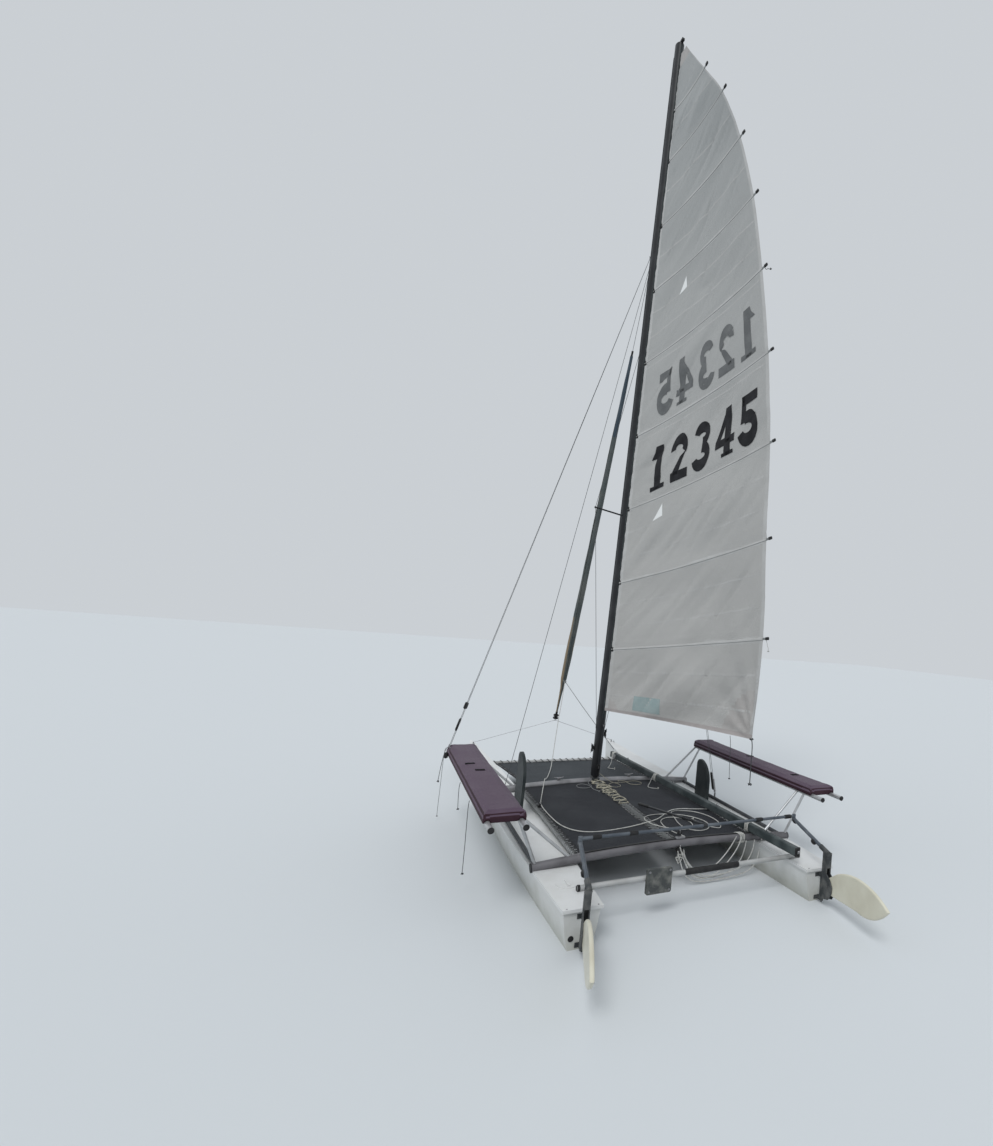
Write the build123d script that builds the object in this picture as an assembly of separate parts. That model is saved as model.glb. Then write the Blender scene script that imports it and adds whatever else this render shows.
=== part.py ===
from build123d import *
import math
import os

os.makedirs("parts", exist_ok=True)

# Beach catamaran with wing seats, in millimetres. X runs forward from the transoms,
# Y to port and Z up from the lowest point of the keels. Every piece is moved by ORIGIN_X
# when it is written, so that the row's origin lies under the middle of the boat.

# Hulls
HULL_LENGTH = 5490
HULL_Y = 1012
DECK_Z = 430
BOW_DECK_Z = 525
DECK_LEVEL_X = 2990
DECK_THICK = 22
DECK_LIP = 10
TRANSOM_LIP = 16
LOFT_TOP_Z = 580
KEEL_LOW_X = 2500
ROCKER_AFT = 80
ROCKER_FORE = 110
STEM_RAKE = 60
FOREFOOT_X = HULL_LENGTH - 310
FOREFOOT_Z = 60
# Columns: share of the hull's length, half beam below the deck, share of it at mid height,
# half width of the keel
HULL_SECTIONS = [
    (0, 128, 0.88, 55),
    (0.182, 172, 0.90, 50),
    (0.401, 192, 0.86, 42),
    (0.601, 172, 0.80, 32),
    (0.783, 122, 0.70, 20),
    (0.920, 56, 0.62, 12),
    (0.998, 8, 0.72, 5),
]

# Crossbeams, trampolines and the rails beside them
GAP = 0.3
REAR_BEAM_X = 728
FRONT_BEAM_X = 2938
REAR_BEAM_R = 35
FRONT_BEAM_R = 38
BEAM_HALF = 1190
BEAM_MID_Z = 502
BEAM_DROP = 56
BEAM_WALL = 3
CAP_THICK = 8
TRAMP_THICK = 4
TRAMP_HALF = 840
BOW_TRAMP_AFT_HALF = 780
RAIL_R = 12
BOW_TUBE_X = 4580
BOW_TUBE_Z = 387
BOW_TUBE_R = 22
BOW_TUBE_HALF = HULL_Y - 88
BOW_TRAMP_HALF = 840
DECK_TUBE_R = 17
DECK_TUBE_Y = 1152
STERN_TUBE_X = 250
STERN_TUBE_R = 20
STERN_TUBE_HALF = 985
MOTOR_PLATE_Y = 368
MOTOR_PLATE = (26, 205, 185)

# Wings
SEAT_AFT_X = 546
SEAT_FORE_X = 3044
SEAT_IN_Y = 1306
SEAT_OUT_Y = 1601
SEAT_TOP_Z = 937
SEAT_THICK = 75
SEAT_CORNER_R = 60
WING_TUBE_R = 20
WING_TUBE_INSET = 32
WING_TUBE_AFT = 150
WING_CROSS_R = 15
STRUT_R = 12.5
STRUT_FOOT_IN = 885
STRUT_FOOT_OUT = 1158
STRUT_LEAN = 52

# Mast, sail and rigging
MAST_BASE_Z = 562
MAST_ABOVE_SAIL = 80
STEP_POST_R = 24
STEP_HALF_X = 48
STEP_HALF_Y = 42
STEP_THICK = 6
MAST_RAKE = 4.81
MAST_LEAN = 0.75
MAST_CHORD = 120
MAST_WIDTH = 62
MAST_WALL = 4
MAST_PLUG = 20
GROOVE_R = 5
SAIL_THICK = 4
LUFF_ROPE_R = 6
SAIL_CAMBER = 0.06
BATTEN_THICK = 8
BATTEN_HALF = 13
HOUNDS_S = 6150
SHACKLE_R = 16
SHACKLE_AHEAD = 106
SPREADER_S = 3075
SPREADER_REACH = 360
DIAMOND_TOP_S = 5100
DIAMOND_FOOT_S = 430
WIRE_R = 2.5
FORESTAY_FOOT = (4900, 0, 905)
BOW_EYE_X = HULL_LENGTH - 240
SHROUD_X = 2150
SHROUD_Y = 1190
DRUM_S = 60
JIB_START_S = 140
# Columns: radius, share of the roll's length
JIB_PROFILE = [(15, 0), (28, 0.052), (48, 0.18), (42, 0.32), (34, 0.6), (20, 1)]
JIB_TOP_CLEAR = 1121
# Columns: height along the luff, chord, swing to starboard, rise of the chord (degrees)
SAIL_ROWS = [
    (790, 2134, 18.8, 0.9),
    (1510, 2280, 18.4, 6.7),
    (2290, 2231, 17.6, 10.9),
    (3150, 2153, 17.6, 13.2),
    (4000, 2018, 17.4, 15.5),
    (4850, 1824, 17.2, 17.8),
    (5710, 1600, 16.4, 18.7),
    (6470, 1339, 14.0, 18.6),
    (7230, 1010, 9.0, 13.0),
    (7790, 715, 5.0, 5.0),
    (8500, 260, 3.0, 0.0),
]
MAST_LENGTH = SAIL_ROWS[-1][0] + MAST_ABOVE_SAIL

# Stowed boom
BOOM_AFT = (82, -832)
BOOM_FORE = (4070, -610)
BOOM_WIDTH = 50
BOOM_HEIGHT = 75
BOOM_WALL = 3

# Daggerboards
BOARD_X = 2150
BOARD_CHORD = 290
BOARD_THICK = 28
BOARD_LENGTH = 860
BOARD_CLEAR = 3
BOARD_HEAD = 230
BOARD_FOOT_Z = {"port": 150, "starboard": 8}
COLLAR_RIM = 22
COLLAR_CLEAR = 0.5
COLLAR_HEIGHT = 8

# Rudders
PIN_X = -62
PIN_R = 6
PIN_CLEAR = 0.3
GUDGEON_Z = (190, 375)
GUDGEON_THICK = 20
HEAD_HALF = 23
CHEEK_THICK = 8
BLADE_THICK = 28
BLADE_PIVOT = (-108, 335)
BLADE_RISE = 7
BLADE_BOLT_R = 8
BLADE_HEADING = {"port": 15, "starboard": 7}
STEER_REST = 11
TILLER_R = 16
TILLER_ROOT_Z = 590
TILLER_TIP_Z = 665
TILLER_REACH = 620
TILLER_START = 70
CROSSBAR_R = 13
CROSSBAR_Z = 690
EXTENSION_R = 11
EXTENSION_ROOT_Y = -180
EXTENSION_TIP = (1860, -120)
PORT_RADIUS = 78
PORT_PLATE = 6
PORT_X = 390

SIDES = {"port": 1, "starboard": -1}
BOW_X = HULL_LENGTH
BLADE_REACH = 750


def keel_z(x):
    """Height of the keel line: a parabola on each side of its lowest point."""
    if x < KEEL_LOW_X:
        return ROCKER_AFT * ((KEEL_LOW_X - x) / KEEL_LOW_X) ** 2
    return ROCKER_FORE * ((x - KEEL_LOW_X) / (HULL_LENGTH - KEEL_LOW_X)) ** 2


SHEER_RUN = HULL_LENGTH - DECK_LEVEL_X
SHEER_RISE = BOW_DECK_Z - DECK_Z
SHEER_R = (SHEER_RUN**2 + SHEER_RISE**2) / (2 * SHEER_RISE)


def sheer_z(x):
    """Height of the deck: level aft, then one arc up to the bow."""
    run = max(0, x - DECK_LEVEL_X)
    return DECK_Z + SHEER_R - math.sqrt(SHEER_R**2 - run**2)


BEAM_ARC_R = (BEAM_HALF**2 + BEAM_DROP**2) / (2 * BEAM_DROP)


def arch_z(y):
    """Height of the crossbeams' centreline, one arc for both beams."""
    return BEAM_MID_Z - (BEAM_ARC_R - math.sqrt(BEAM_ARC_R**2 - y**2))


def ring_face(edges):
    return Face(Wire(edges))


def rod(start, end, radius):
    """A round bar between two points."""
    a, b = Vector(start), Vector(end)
    plane = Plane(origin=a, z_dir=b - a)
    return extrude(plane * Circle(radius), amount=(b - a).length)


def tube(start, end, radius, wall):
    return rod(start, end, radius) - rod(start, end, radius - wall)


def box(x, y, z):
    """A box from three (low, high) pairs."""
    size = (x[1] - x[0], y[1] - y[0], z[1] - z[0])
    middle = ((x[0] + x[1]) / 2, (y[0] + y[1]) / 2, (z[0] + z[1]) / 2)
    return Pos(*middle) * Box(*size)


# The row's origin is halfway between the bow tips and the kicked-up rudder blades
AFT_X = PIN_X + BLADE_PIVOT[0] - BLADE_REACH
ORIGIN_X = (BOW_X + AFT_X) / 2


def save(name, *solids):
    shape = Compound(children=[s for group in solids for s in group.solids()])
    export_step(Pos(-ORIGIN_X, 0, 0) * shape, f"parts/{name}.step")


# Hulls and decks


def hull_section(place, half, share, keel):
    x = place * HULL_LENGTH
    low = keel_z(x)
    middle = low + 0.45 * (LOFT_TOP_Z - low)
    return ring_face([
        Line((x, -half, LOFT_TOP_Z), (x, half, LOFT_TOP_Z)),
        ThreePointArc((x, half, LOFT_TOP_Z), (x, share * half, middle), (x, keel, low)),
        Line((x, keel, low), (x, -keel, low)),
        ThreePointArc((x, -keel, low), (x, -share * half, middle), (x, -half, LOFT_TOP_Z)),
    ])


def side_profile(below, aft_x, bow_x):
    """The hull's side view up to so far below the deck, as a slab across the boat."""
    top_mid = (DECK_LEVEL_X + bow_x) / 2
    top_bow = (bow_x, 0, sheer_z(bow_x) - below)
    stem_low = (bow_x - STEM_RAKE, 0, 250)
    face = ring_face([
        Line((aft_x, 0, -60), (FOREFOOT_X, 0, -60)),
        Line((FOREFOOT_X, 0, -60), (FOREFOOT_X, 0, FOREFOOT_Z)),
        ThreePointArc((FOREFOOT_X, 0, FOREFOOT_Z), (bow_x - 125, 0, 138), stem_low),
        Line(stem_low, top_bow),
        ThreePointArc(
            top_bow,
            (top_mid, 0, sheer_z(top_mid) - below),
            (DECK_LEVEL_X, 0, DECK_Z - below),
        ),
        Line((DECK_LEVEL_X, 0, DECK_Z - below), (aft_x, 0, DECK_Z - below)),
        Line((aft_x, 0, DECK_Z - below), (aft_x, 0, -60)),
    ])
    return extrude(face, amount=300, dir=(0, 1, 0), both=True)


def deck_slab():
    edge = [(-TRANSOM_LIP, HULL_SECTIONS[0][1] + DECK_LIP)]
    edge += [(place * HULL_LENGTH, half + DECK_LIP) for place, half, _, _ in HULL_SECTIONS[1:-1]]
    edge += [(HULL_LENGTH, 14)]
    port_edge = Spline(*edge)
    starboard_edge = Spline(*[(x, -y) for x, y in edge])
    outline = Face(Wire([
        port_edge,
        Line(edge[-1], (edge[-1][0], -edge[-1][1])),
        starboard_edge,
        Line((edge[0][0], -edge[0][1]), edge[0]),
    ]))
    slab = extrude(outline, amount=LOFT_TOP_Z + 20, dir=(0, 0, 1))
    upper = side_profile(0, -TRANSOM_LIP - 1, HULL_LENGTH + 1)
    lower = side_profile(DECK_THICK, -TRANSOM_LIP - 1, HULL_LENGTH + 1)
    return (slab & upper) - lower


def board_slot(x_room, y_room):
    half_x = BOARD_CHORD / 2 + x_room
    half_y = BOARD_THICK / 2 + y_room
    return box((BOARD_X - half_x, BOARD_X + half_x), (-half_y, half_y), (-100, 700))


def beam_path(x, reach=BEAM_HALF):
    return ThreePointArc(
        (x, -reach, arch_z(reach)), (x, 0, BEAM_MID_Z), (x, reach, arch_z(reach))
    )


def beam_solid(x, radius, reach=BEAM_HALF):
    path = beam_path(x, reach)
    return sweep(Plane(path @ 0, z_dir=path % 0) * Circle(radius), path=path)


def beam_stub(x, y, radius):
    """A short straight piece of a beam, for what is cut to sit on it."""
    slope = -y / math.sqrt(BEAM_ARC_R**2 - y**2)
    a = (x, y - 60, arch_z(y) - 60 * slope)
    b = (x, y + 60, arch_z(y) + 60 * slope)
    return rod(a, b, radius)


def beam_beds(side):
    """Room for the beams' ends where they are bedded in the deck, about the hull's own middle."""
    beds = [
        beam_solid(REAR_BEAM_X, REAR_BEAM_R + GAP, BEAM_HALF + CAP_THICK + 20),
        beam_solid(FRONT_BEAM_X, FRONT_BEAM_R + GAP, BEAM_HALF + CAP_THICK + 20),
    ]
    return [Pos(0, -SIDES[side] * HULL_Y, 0) * bed for bed in beds]


hull_form = loft([hull_section(*row) for row in HULL_SECTIONS])
hull_form = hull_form & side_profile(DECK_THICK, -1, HULL_LENGTH - DECK_LIP)
deck_form = deck_slab()
port_recess = Pos(PORT_X, 0, DECK_Z) * Cylinder(PORT_RADIUS + GAP, 2 * PORT_PLATE)
eye_hole = Pos(BOW_EYE_X, 0, sheer_z(BOW_EYE_X)) * Cylinder(8 + GAP, 24)

for side, sign in SIDES.items():
    place = Pos(0, sign * HULL_Y, 0)
    slot = board_slot(BOARD_CLEAR, BOARD_CLEAR)
    socket = rod((BOW_TUBE_X, -300, BOW_TUBE_Z), (BOW_TUBE_X, 300, BOW_TUBE_Z), BOW_TUBE_R + GAP)
    socket_end = sign * (BOW_TUBE_HALF + GAP - HULL_Y)
    keep = box((BOW_TUBE_X - 60, BOW_TUBE_X + 60), sorted((socket_end, -sign * 400)), (200, 700))
    hull = hull_form - slot - (socket & keep)
    deck = deck_form - slot - port_recess - eye_hole
    for bed in beam_beds(side):
        hull = hull - bed
        deck = deck - bed
    save(f"hull_{side}", place * hull)
    save(f"deck_{side}", place * deck)

# Inspection ports in the aft decks

port_plates = []
for side, sign in SIDES.items():
    disc = Pos(PORT_X, sign * HULL_Y, DECK_Z - PORT_PLATE + 5) * Cylinder(PORT_RADIUS, 10)
    grip = Pos(PORT_X, sign * HULL_Y, DECK_Z + 9) * Box(2 * PORT_RADIUS - 50, 14, 14)
    port_plates.append(disc + grip)
save("inspection_ports", *port_plates)

# Crossbeams with their end caps

for name, x, radius in (
    ("rear_beam", REAR_BEAM_X, REAR_BEAM_R),
    ("front_beam", FRONT_BEAM_X, FRONT_BEAM_R),
):
    save(name, beam_solid(x, radius) - beam_solid(x, radius - BEAM_WALL))

end_caps = []
for x, radius in ((REAR_BEAM_X, REAR_BEAM_R), (FRONT_BEAM_X, FRONT_BEAM_R)):
    path = beam_path(x)
    for at, outward in ((0, -1), (1, 1)):
        plane = Plane(path @ at, z_dir=(path % at) * outward)
        end_caps.append(extrude(plane * Circle(radius), amount=CAP_THICK))

# Trampolines and their rails


def arch_strip(x, half, thick):
    """A thin slice that follows the beams' arch, as a face across the boat."""
    up, down = thick / 2, -thick / 2
    edge = arch_z(half)
    return ring_face([
        ThreePointArc(
            (x, -half, edge + up), (x, 0, BEAM_MID_Z + up), (x, half, edge + up)
        ),
        Line((x, half, edge + up), (x, half, edge + down)),
        ThreePointArc(
            (x, half, edge + down), (x, 0, BEAM_MID_Z + down), (x, -half, edge + down)
        ),
        Line((x, -half, edge + down), (x, -half, edge + up)),
    ])


main_aft = REAR_BEAM_X + REAR_BEAM_R + GAP
main_fore = FRONT_BEAM_X - FRONT_BEAM_R - GAP
tramp = extrude(
    arch_strip(main_aft, TRAMP_HALF, TRAMP_THICK), amount=main_fore - main_aft, dir=(1, 0, 0)
)
save("trampoline_main", tramp)

fore_aft = FRONT_BEAM_X + FRONT_BEAM_R + GAP
fore_fore = BOW_TUBE_X - BOW_TUBE_R - GAP
half_thick = TRAMP_THICK / 2
bow_strip = ring_face([
    ThreePointArc(
        (fore_fore, -BOW_TRAMP_HALF, BOW_TUBE_Z + half_thick),
        (fore_fore, 0, BOW_TUBE_Z + half_thick + 1),
        (fore_fore, BOW_TRAMP_HALF, BOW_TUBE_Z + half_thick),
    ),
    Line(
        (fore_fore, BOW_TRAMP_HALF, BOW_TUBE_Z + half_thick),
        (fore_fore, BOW_TRAMP_HALF, BOW_TUBE_Z - half_thick),
    ),
    ThreePointArc(
        (fore_fore, BOW_TRAMP_HALF, BOW_TUBE_Z - half_thick),
        (fore_fore, 0, BOW_TUBE_Z - half_thick + 1),
        (fore_fore, -BOW_TRAMP_HALF, BOW_TUBE_Z - half_thick),
    ),
    Line(
        (fore_fore, -BOW_TRAMP_HALF, BOW_TUBE_Z - half_thick),
        (fore_fore, -BOW_TRAMP_HALF, BOW_TUBE_Z + half_thick),
    ),
])
save(
    "trampoline_bow",
    loft([arch_strip(fore_aft, BOW_TRAMP_AFT_HALF, TRAMP_THICK), bow_strip], ruled=True),
)

rail_y = TRAMP_HALF + RAIL_R + GAP
rails = [
    rod((main_aft, s * rail_y, arch_z(rail_y)), (main_fore, s * rail_y, arch_z(rail_y)), RAIL_R)
    for s in SIDES.values()
]
save("trampoline_rails", *rails)

save("bow_tube", tube(
    (BOW_TUBE_X, -BOW_TUBE_HALF, BOW_TUBE_Z), (BOW_TUBE_X, BOW_TUBE_HALF, BOW_TUBE_Z),
    BOW_TUBE_R, BEAM_WALL,
))

# Tubes along the decks' outer edges, between the beams

for side, sign in SIDES.items():
    z = DECK_Z + DECK_TUBE_R
    start = (REAR_BEAM_X + REAR_BEAM_R + GAP, sign * DECK_TUBE_Y, z)
    end = (FRONT_BEAM_X - FRONT_BEAM_R - GAP, sign * DECK_TUBE_Y, z)
    save(f"deck_tube_{side}", tube(start, end, DECK_TUBE_R, BEAM_WALL))

# Stern tube with the outboard motor's bracket

stern_z = DECK_Z + STERN_TUBE_R
save("stern_tube", tube(
    (STERN_TUBE_X, -STERN_TUBE_HALF, stern_z), (STERN_TUBE_X, STERN_TUBE_HALF, stern_z),
    STERN_TUBE_R, BEAM_WALL,
))
plate_fore = STERN_TUBE_X - STERN_TUBE_R - GAP
plate = box(
    (plate_fore - MOTOR_PLATE[0], plate_fore),
    (MOTOR_PLATE_Y - MOTOR_PLATE[1] / 2, MOTOR_PLATE_Y + MOTOR_PLATE[1] / 2),
    (stern_z - 0.6 * MOTOR_PLATE[2], stern_z + 0.4 * MOTOR_PLATE[2]),
)
plate = fillet(plate.edges().filter_by(Axis.X), 14)
clamps = []
for offset in (-60, 60):
    y = MOTOR_PLATE_Y + offset
    ring = box(
        (plate_fore, STERN_TUBE_X + STERN_TUBE_R + 8), (y - 15, y + 15),
        (stern_z - STERN_TUBE_R - 8, stern_z + STERN_TUBE_R + 8),
    )
    bore = rod((STERN_TUBE_X, y - 20, stern_z), (STERN_TUBE_X, y + 20, stern_z), STERN_TUBE_R + GAP)
    clamps.append(ring - bore)
save("motor_bracket", plate + clamps[0] + clamps[1])

# Wings: a tube frame, four struts and a padded seat on each side

tube_z = SEAT_TOP_Z - SEAT_THICK - 1
inner_y = SEAT_IN_Y + WING_TUBE_INSET
outer_y = SEAT_OUT_Y - WING_TUBE_INSET
wing_fore = SEAT_FORE_X - 45
for side, sign in SIDES.items():
    runs = [
        rod((SEAT_AFT_X - WING_TUBE_AFT, sign * y, tube_z), (wing_fore, sign * y, tube_z), WING_TUBE_R)
        for y in (inner_y, outer_y)
    ]
    crossings = [
        rod((x, sign * inner_y, tube_z), (x, sign * outer_y, tube_z), WING_CROSS_R)
        for x in (SEAT_AFT_X + 90, (SEAT_AFT_X + wing_fore) / 2, wing_fore - 60)
    ]
    frame = runs[0] + runs[1] + crossings[0] + crossings[1] + crossings[2]
    save(f"wing_frame_{side}", frame)
    seat = box(
        (SEAT_AFT_X, SEAT_FORE_X), (SEAT_IN_Y, SEAT_OUT_Y), (SEAT_TOP_Z - SEAT_THICK, SEAT_TOP_Z)
    )
    seat = fillet(seat.edges().filter_by(Axis.Z).group_by(Axis.X)[-1], SEAT_CORNER_R)
    seat = fillet(seat.faces().sort_by(Axis.Z)[-1].edges(), 14)
    if sign < 0:
        seat = mirror(seat, about=Plane.XZ)
    room = [
        rod(
            (SEAT_AFT_X - WING_TUBE_AFT, sign * y, tube_z), (wing_fore + 2, sign * y, tube_z),
            WING_TUBE_R + GAP,
        )
        for y in (inner_y, outer_y)
    ]
    room += [
        rod((x, sign * inner_y, tube_z), (x, sign * outer_y, tube_z), WING_CROSS_R + GAP)
        for x in (SEAT_AFT_X + 90, (SEAT_AFT_X + wing_fore) / 2, wing_fore - 60)
    ]
    for piece in room:
        seat = seat - piece
    save(f"wing_seat_{side}", seat)
    struts = []
    for beam_x, beam_r in ((REAR_BEAM_X, REAR_BEAM_R), (FRONT_BEAM_X, FRONT_BEAM_R)):
        for foot_y, lean in ((STRUT_FOOT_IN, STRUT_LEAN), (STRUT_FOOT_OUT, -STRUT_LEAN)):
            foot = (beam_x, sign * foot_y, arch_z(foot_y))
            top = (beam_x + lean, sign * inner_y, tube_z)
            leg = rod(foot, top, STRUT_R)
            leg = leg - beam_stub(beam_x, sign * foot_y, beam_r + GAP)
            leg = leg - rod(
                (beam_x - 200, sign * inner_y, tube_z), (beam_x + 200, sign * inner_y, tube_z),
                WING_TUBE_R + GAP,
            )
            struts.append(leg)
    save(f"wing_struts_{side}", *struts)
    for y in (inner_y, outer_y):
        aft = SEAT_AFT_X - WING_TUBE_AFT
        end_caps.append(rod((aft - 5, sign * y, tube_z), (aft, sign * y, tube_z), WING_TUBE_R + 2))
save("end_caps", *end_caps)

# Mast, in its own frame: local x forward, y to port, z up along the mast

rake, lean = math.radians(MAST_RAKE), math.radians(MAST_LEAN)
mast_up = Vector(-math.sin(rake), math.sin(lean), math.cos(rake)).normalized()
mast_fore = Vector(0, 1, 0).cross(mast_up).normalized()
MAST = Plane(origin=(FRONT_BEAM_X, 0, MAST_BASE_Z), x_dir=mast_fore, z_dir=mast_up)


def mast_point(s, ahead=0, port=0):
    return MAST.from_local_coords(Vector(ahead, port, s))


section = Ellipse(MAST_CHORD / 2, MAST_WIDTH / 2)
groove_x = -MAST_CHORD / 2 + GROOVE_R + 3
groove = Pos(groove_x, 0) * Circle(GROOVE_R) + Pos(groove_x - GROOVE_R - 4, 0) * Rectangle(12, 4)
hollow_aft = groove_x + GROOVE_R + MAST_WALL
hollow = Ellipse(MAST_CHORD / 2 - MAST_WALL, MAST_WIDTH / 2 - MAST_WALL) & Pos(
    hollow_aft + MAST_CHORD / 2, 0
) * Rectangle(MAST_CHORD, MAST_WIDTH)
mast = extrude(section - groove, amount=MAST_LENGTH)
mast = mast - Pos(0, 0, MAST_PLUG) * extrude(hollow, amount=MAST_LENGTH)
save("mast", MAST * mast)

crane = Pos(-15, 0, MAST_LENGTH + 12) * Box(150, 30, 24)
sheave = Pos(-78, 0, MAST_LENGTH + 14) * Rot(90, 0, 0) * Cylinder(16, 10)
save("masthead", MAST * (crane + sheave))

step_post = rod(mast_point(BEAM_MID_Z - MAST_BASE_Z), mast_point(-GAP), STEP_POST_R)
step_block = box(
    (FRONT_BEAM_X - STEP_HALF_X, FRONT_BEAM_X + STEP_HALF_X),
    (-STEP_HALF_Y, STEP_HALF_Y),
    (BEAM_MID_Z + FRONT_BEAM_R / 3, BEAM_MID_Z + FRONT_BEAM_R + STEP_THICK),
)
step = (step_post + step_block) - beam_solid(FRONT_BEAM_X, FRONT_BEAM_R + GAP)
save("mast_step", step)

hound_tang = MAST * Pos(MAST_CHORD / 2 + 8, 0, HOUNDS_S) * Box(30, 10, 44)
hound_tang = hound_tang - MAST * Pos(0, 0, HOUNDS_S - 60) * extrude(
    Ellipse(MAST_CHORD / 2 + GAP, MAST_WIDTH / 2 + GAP), amount=120
)
save("hound_tang", hound_tang)

spreaders, diamond_wires = [], []
for side, sign in SIDES.items():
    root = mast_point(SPREADER_S, 0, sign * (MAST_WIDTH / 2 + GAP))
    tip = mast_point(SPREADER_S + 40, 0, sign * SPREADER_REACH)
    bar = rod(root, tip, 9)
    boss = MAST * Pos(0, sign * (MAST_WIDTH / 2 + 5), SPREADER_S) * Box(46, 14, 34)
    knob = Pos(tip) * Sphere(13)
    spreaders.append(bar + boss + knob - MAST * Pos(0, 0, SPREADER_S - 40) * extrude(
        Ellipse(MAST_CHORD / 2 + GAP, MAST_WIDTH / 2 + GAP), amount=80
    ))
    wire_tip = mast_point(SPREADER_S + 40, 0, sign * SPREADER_REACH)
    for s, away in ((DIAMOND_TOP_S, 1), (DIAMOND_FOOT_S, -1)):
        end = mast_point(s, 0, sign * (MAST_WIDTH / 2 + WIRE_R + GAP))
        wire = rod(wire_tip, end, WIRE_R) - Pos(tip) * Sphere(13 + GAP)
        diamond_wires.append(wire)
save("spreaders", *spreaders)
save("diamond_wires", *diamond_wires)

# Mainsail: one skin through the battens' curves, hung on a rope at the back of the mast

LUFF_BACK = MAST_CHORD / 2 + 0.5 + LUFF_ROPE_R


def batten_curve(row):
    """Centre, radius, sideways and chord directions, and half angle of one row's arc."""
    s, chord, swing, rise = row
    swing, rise = math.radians(swing), math.radians(rise)
    luff = mast_point(s, -LUFF_BACK)
    along = Vector(
        -math.cos(swing) * math.cos(rise), -math.sin(swing) * math.cos(rise), math.sin(rise)
    )
    across = Vector(math.sin(swing), -math.cos(swing), 0)
    depth = SAIL_CAMBER * chord
    radius = (chord**2 / 4 + depth**2) / (2 * depth)
    centre = luff + along * (chord / 2) + across * (depth - radius)
    return centre, radius, across, along, math.asin(chord / 2 / radius)


def curve_point(curve, share, offset):
    """A point at a share of the way from luff to leech, so far outside the arc."""
    centre, radius, across, along, half_angle = curve
    angle = half_angle * (2 * share - 1)
    return centre + (across * math.cos(angle) + along * math.sin(angle)) * (radius + offset)


def curve_strip(row, first, last, inside, outside):
    curve = batten_curve(row)
    middle = (first + last) / 2
    a, b, c = (curve_point(curve, k, outside) for k in (first, middle, last))
    d, e, f = (curve_point(curve, k, inside) for k in (last, middle, first))
    return ring_face([ThreePointArc(a, b, c), Line(c, d), ThreePointArc(d, e, f), Line(f, a)])


sail = loft([curve_strip(row, 0, 1, 0, SAIL_THICK) for row in SAIL_ROWS], ruled=True)
luff_rope = rod(
    mast_point(SAIL_ROWS[0][0], -LUFF_BACK),
    mast_point(SAIL_ROWS[-1][0], -LUFF_BACK),
    LUFF_ROPE_R,
)
sail = sail + luff_rope
save("mainsail", sail)

battens = []
for row in SAIL_ROWS[1:-1]:
    strip = curve_strip(row, 0.02, 1.012, -BATTEN_THICK, -GAP)
    battens.append(extrude(strip, amount=BATTEN_HALF, both=True) - sail)
save("battens", *battens)

# Standing rigging and the furled jib round the forestay

hounds = mast_point(HOUNDS_S, SHACKLE_AHEAD)
stay_foot = Vector(*FORESTAY_FOOT)
STAY = Plane(origin=stay_foot, z_dir=hounds - stay_foot)
stay_length = (hounds - stay_foot).length
jib_length = stay_length - JIB_START_S - JIB_TOP_CLEAR
jib_top = JIB_START_S + jib_length
shackle = Pos(hounds) * Sphere(SHACKLE_R)


def stay_rod(first, last, radius):
    return STAY * extrude(Pos(0, 0, first) * Circle(radius), amount=last - first)


stay_above = stay_rod(jib_top + 60, stay_length - SHACKLE_R - GAP, WIRE_R)
stay_below = stay_rod(8, DRUM_S - 25, WIRE_R)
save("forestay", stay_above, stay_below)
drum = stay_rod(DRUM_S - 25, DRUM_S - 19, 38) + stay_rod(DRUM_S + 19, DRUM_S + 25, 38)
drum = drum + stay_rod(DRUM_S - 25, JIB_START_S, 16)
swivel = stay_rod(jib_top, jib_top + 60, 12)
save("jib_furler", drum, swivel)
jib_face = Face(Wire(Polyline(
    (0, 0), *[(r, k * jib_length) for r, k in JIB_PROFILE], (0, jib_length), close=True
).edges()))
jib = revolve(Plane.XZ * jib_face, Axis.Z)
save("jib_furled", STAY * Pos(0, 0, JIB_START_S) * jib)

apex = Pos(stay_foot) * Sphere(8)
save("stay_shackles", shackle, apex)
eyes = []
for side, sign in SIDES.items():
    eye_z = sheer_z(BOW_EYE_X) + 30
    eye = Vector(BOW_EYE_X, sign * HULL_Y, eye_z)
    toward = (stay_foot - eye).normalized()
    start = eye + toward * (9 + GAP)
    end = stay_foot - toward * (8 + GAP)
    save(f"bridle_{side}", rod(start, end, WIRE_R))
    eyes.append(rod((BOW_EYE_X, sign * HULL_Y, eye_z - 40), eye, 8) + Pos(eye) * Sphere(9))
    foot = Vector(SHROUD_X, sign * SHROUD_Y, DECK_Z + 60)
    toward = (hounds - foot).normalized()
    save(
        f"shroud_{side}",
        rod((foot + toward * (9 + GAP)), (hounds - toward * (SHACKLE_R + GAP)), WIRE_R),
    )
    base = box(
        (SHROUD_X - 35, SHROUD_X + 35),
        sorted((sign * (SHROUD_Y - 15), sign * (SHROUD_Y + 15))),
        (DECK_Z, DECK_Z + 5),
    )
    lug = box(
        (SHROUD_X - 12, SHROUD_X + 12),
        sorted((sign * (SHROUD_Y - 3), sign * (SHROUD_Y + 3))),
        (DECK_Z + 5, DECK_Z + 55),
    )
    eyes.append(base + lug + Pos(foot) * Sphere(9))
save("chainplates", *eyes)

# Boom, lashed down on both beams beside the starboard hull

boom_dir = Vector(BOOM_FORE[0] - BOOM_AFT[0], BOOM_FORE[1] - BOOM_AFT[1], 0)


def boom_y(x):
    share = (x - BOOM_AFT[0]) / (BOOM_FORE[0] - BOOM_AFT[0])
    return BOOM_AFT[1] + share * (BOOM_FORE[1] - BOOM_AFT[1])


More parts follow.
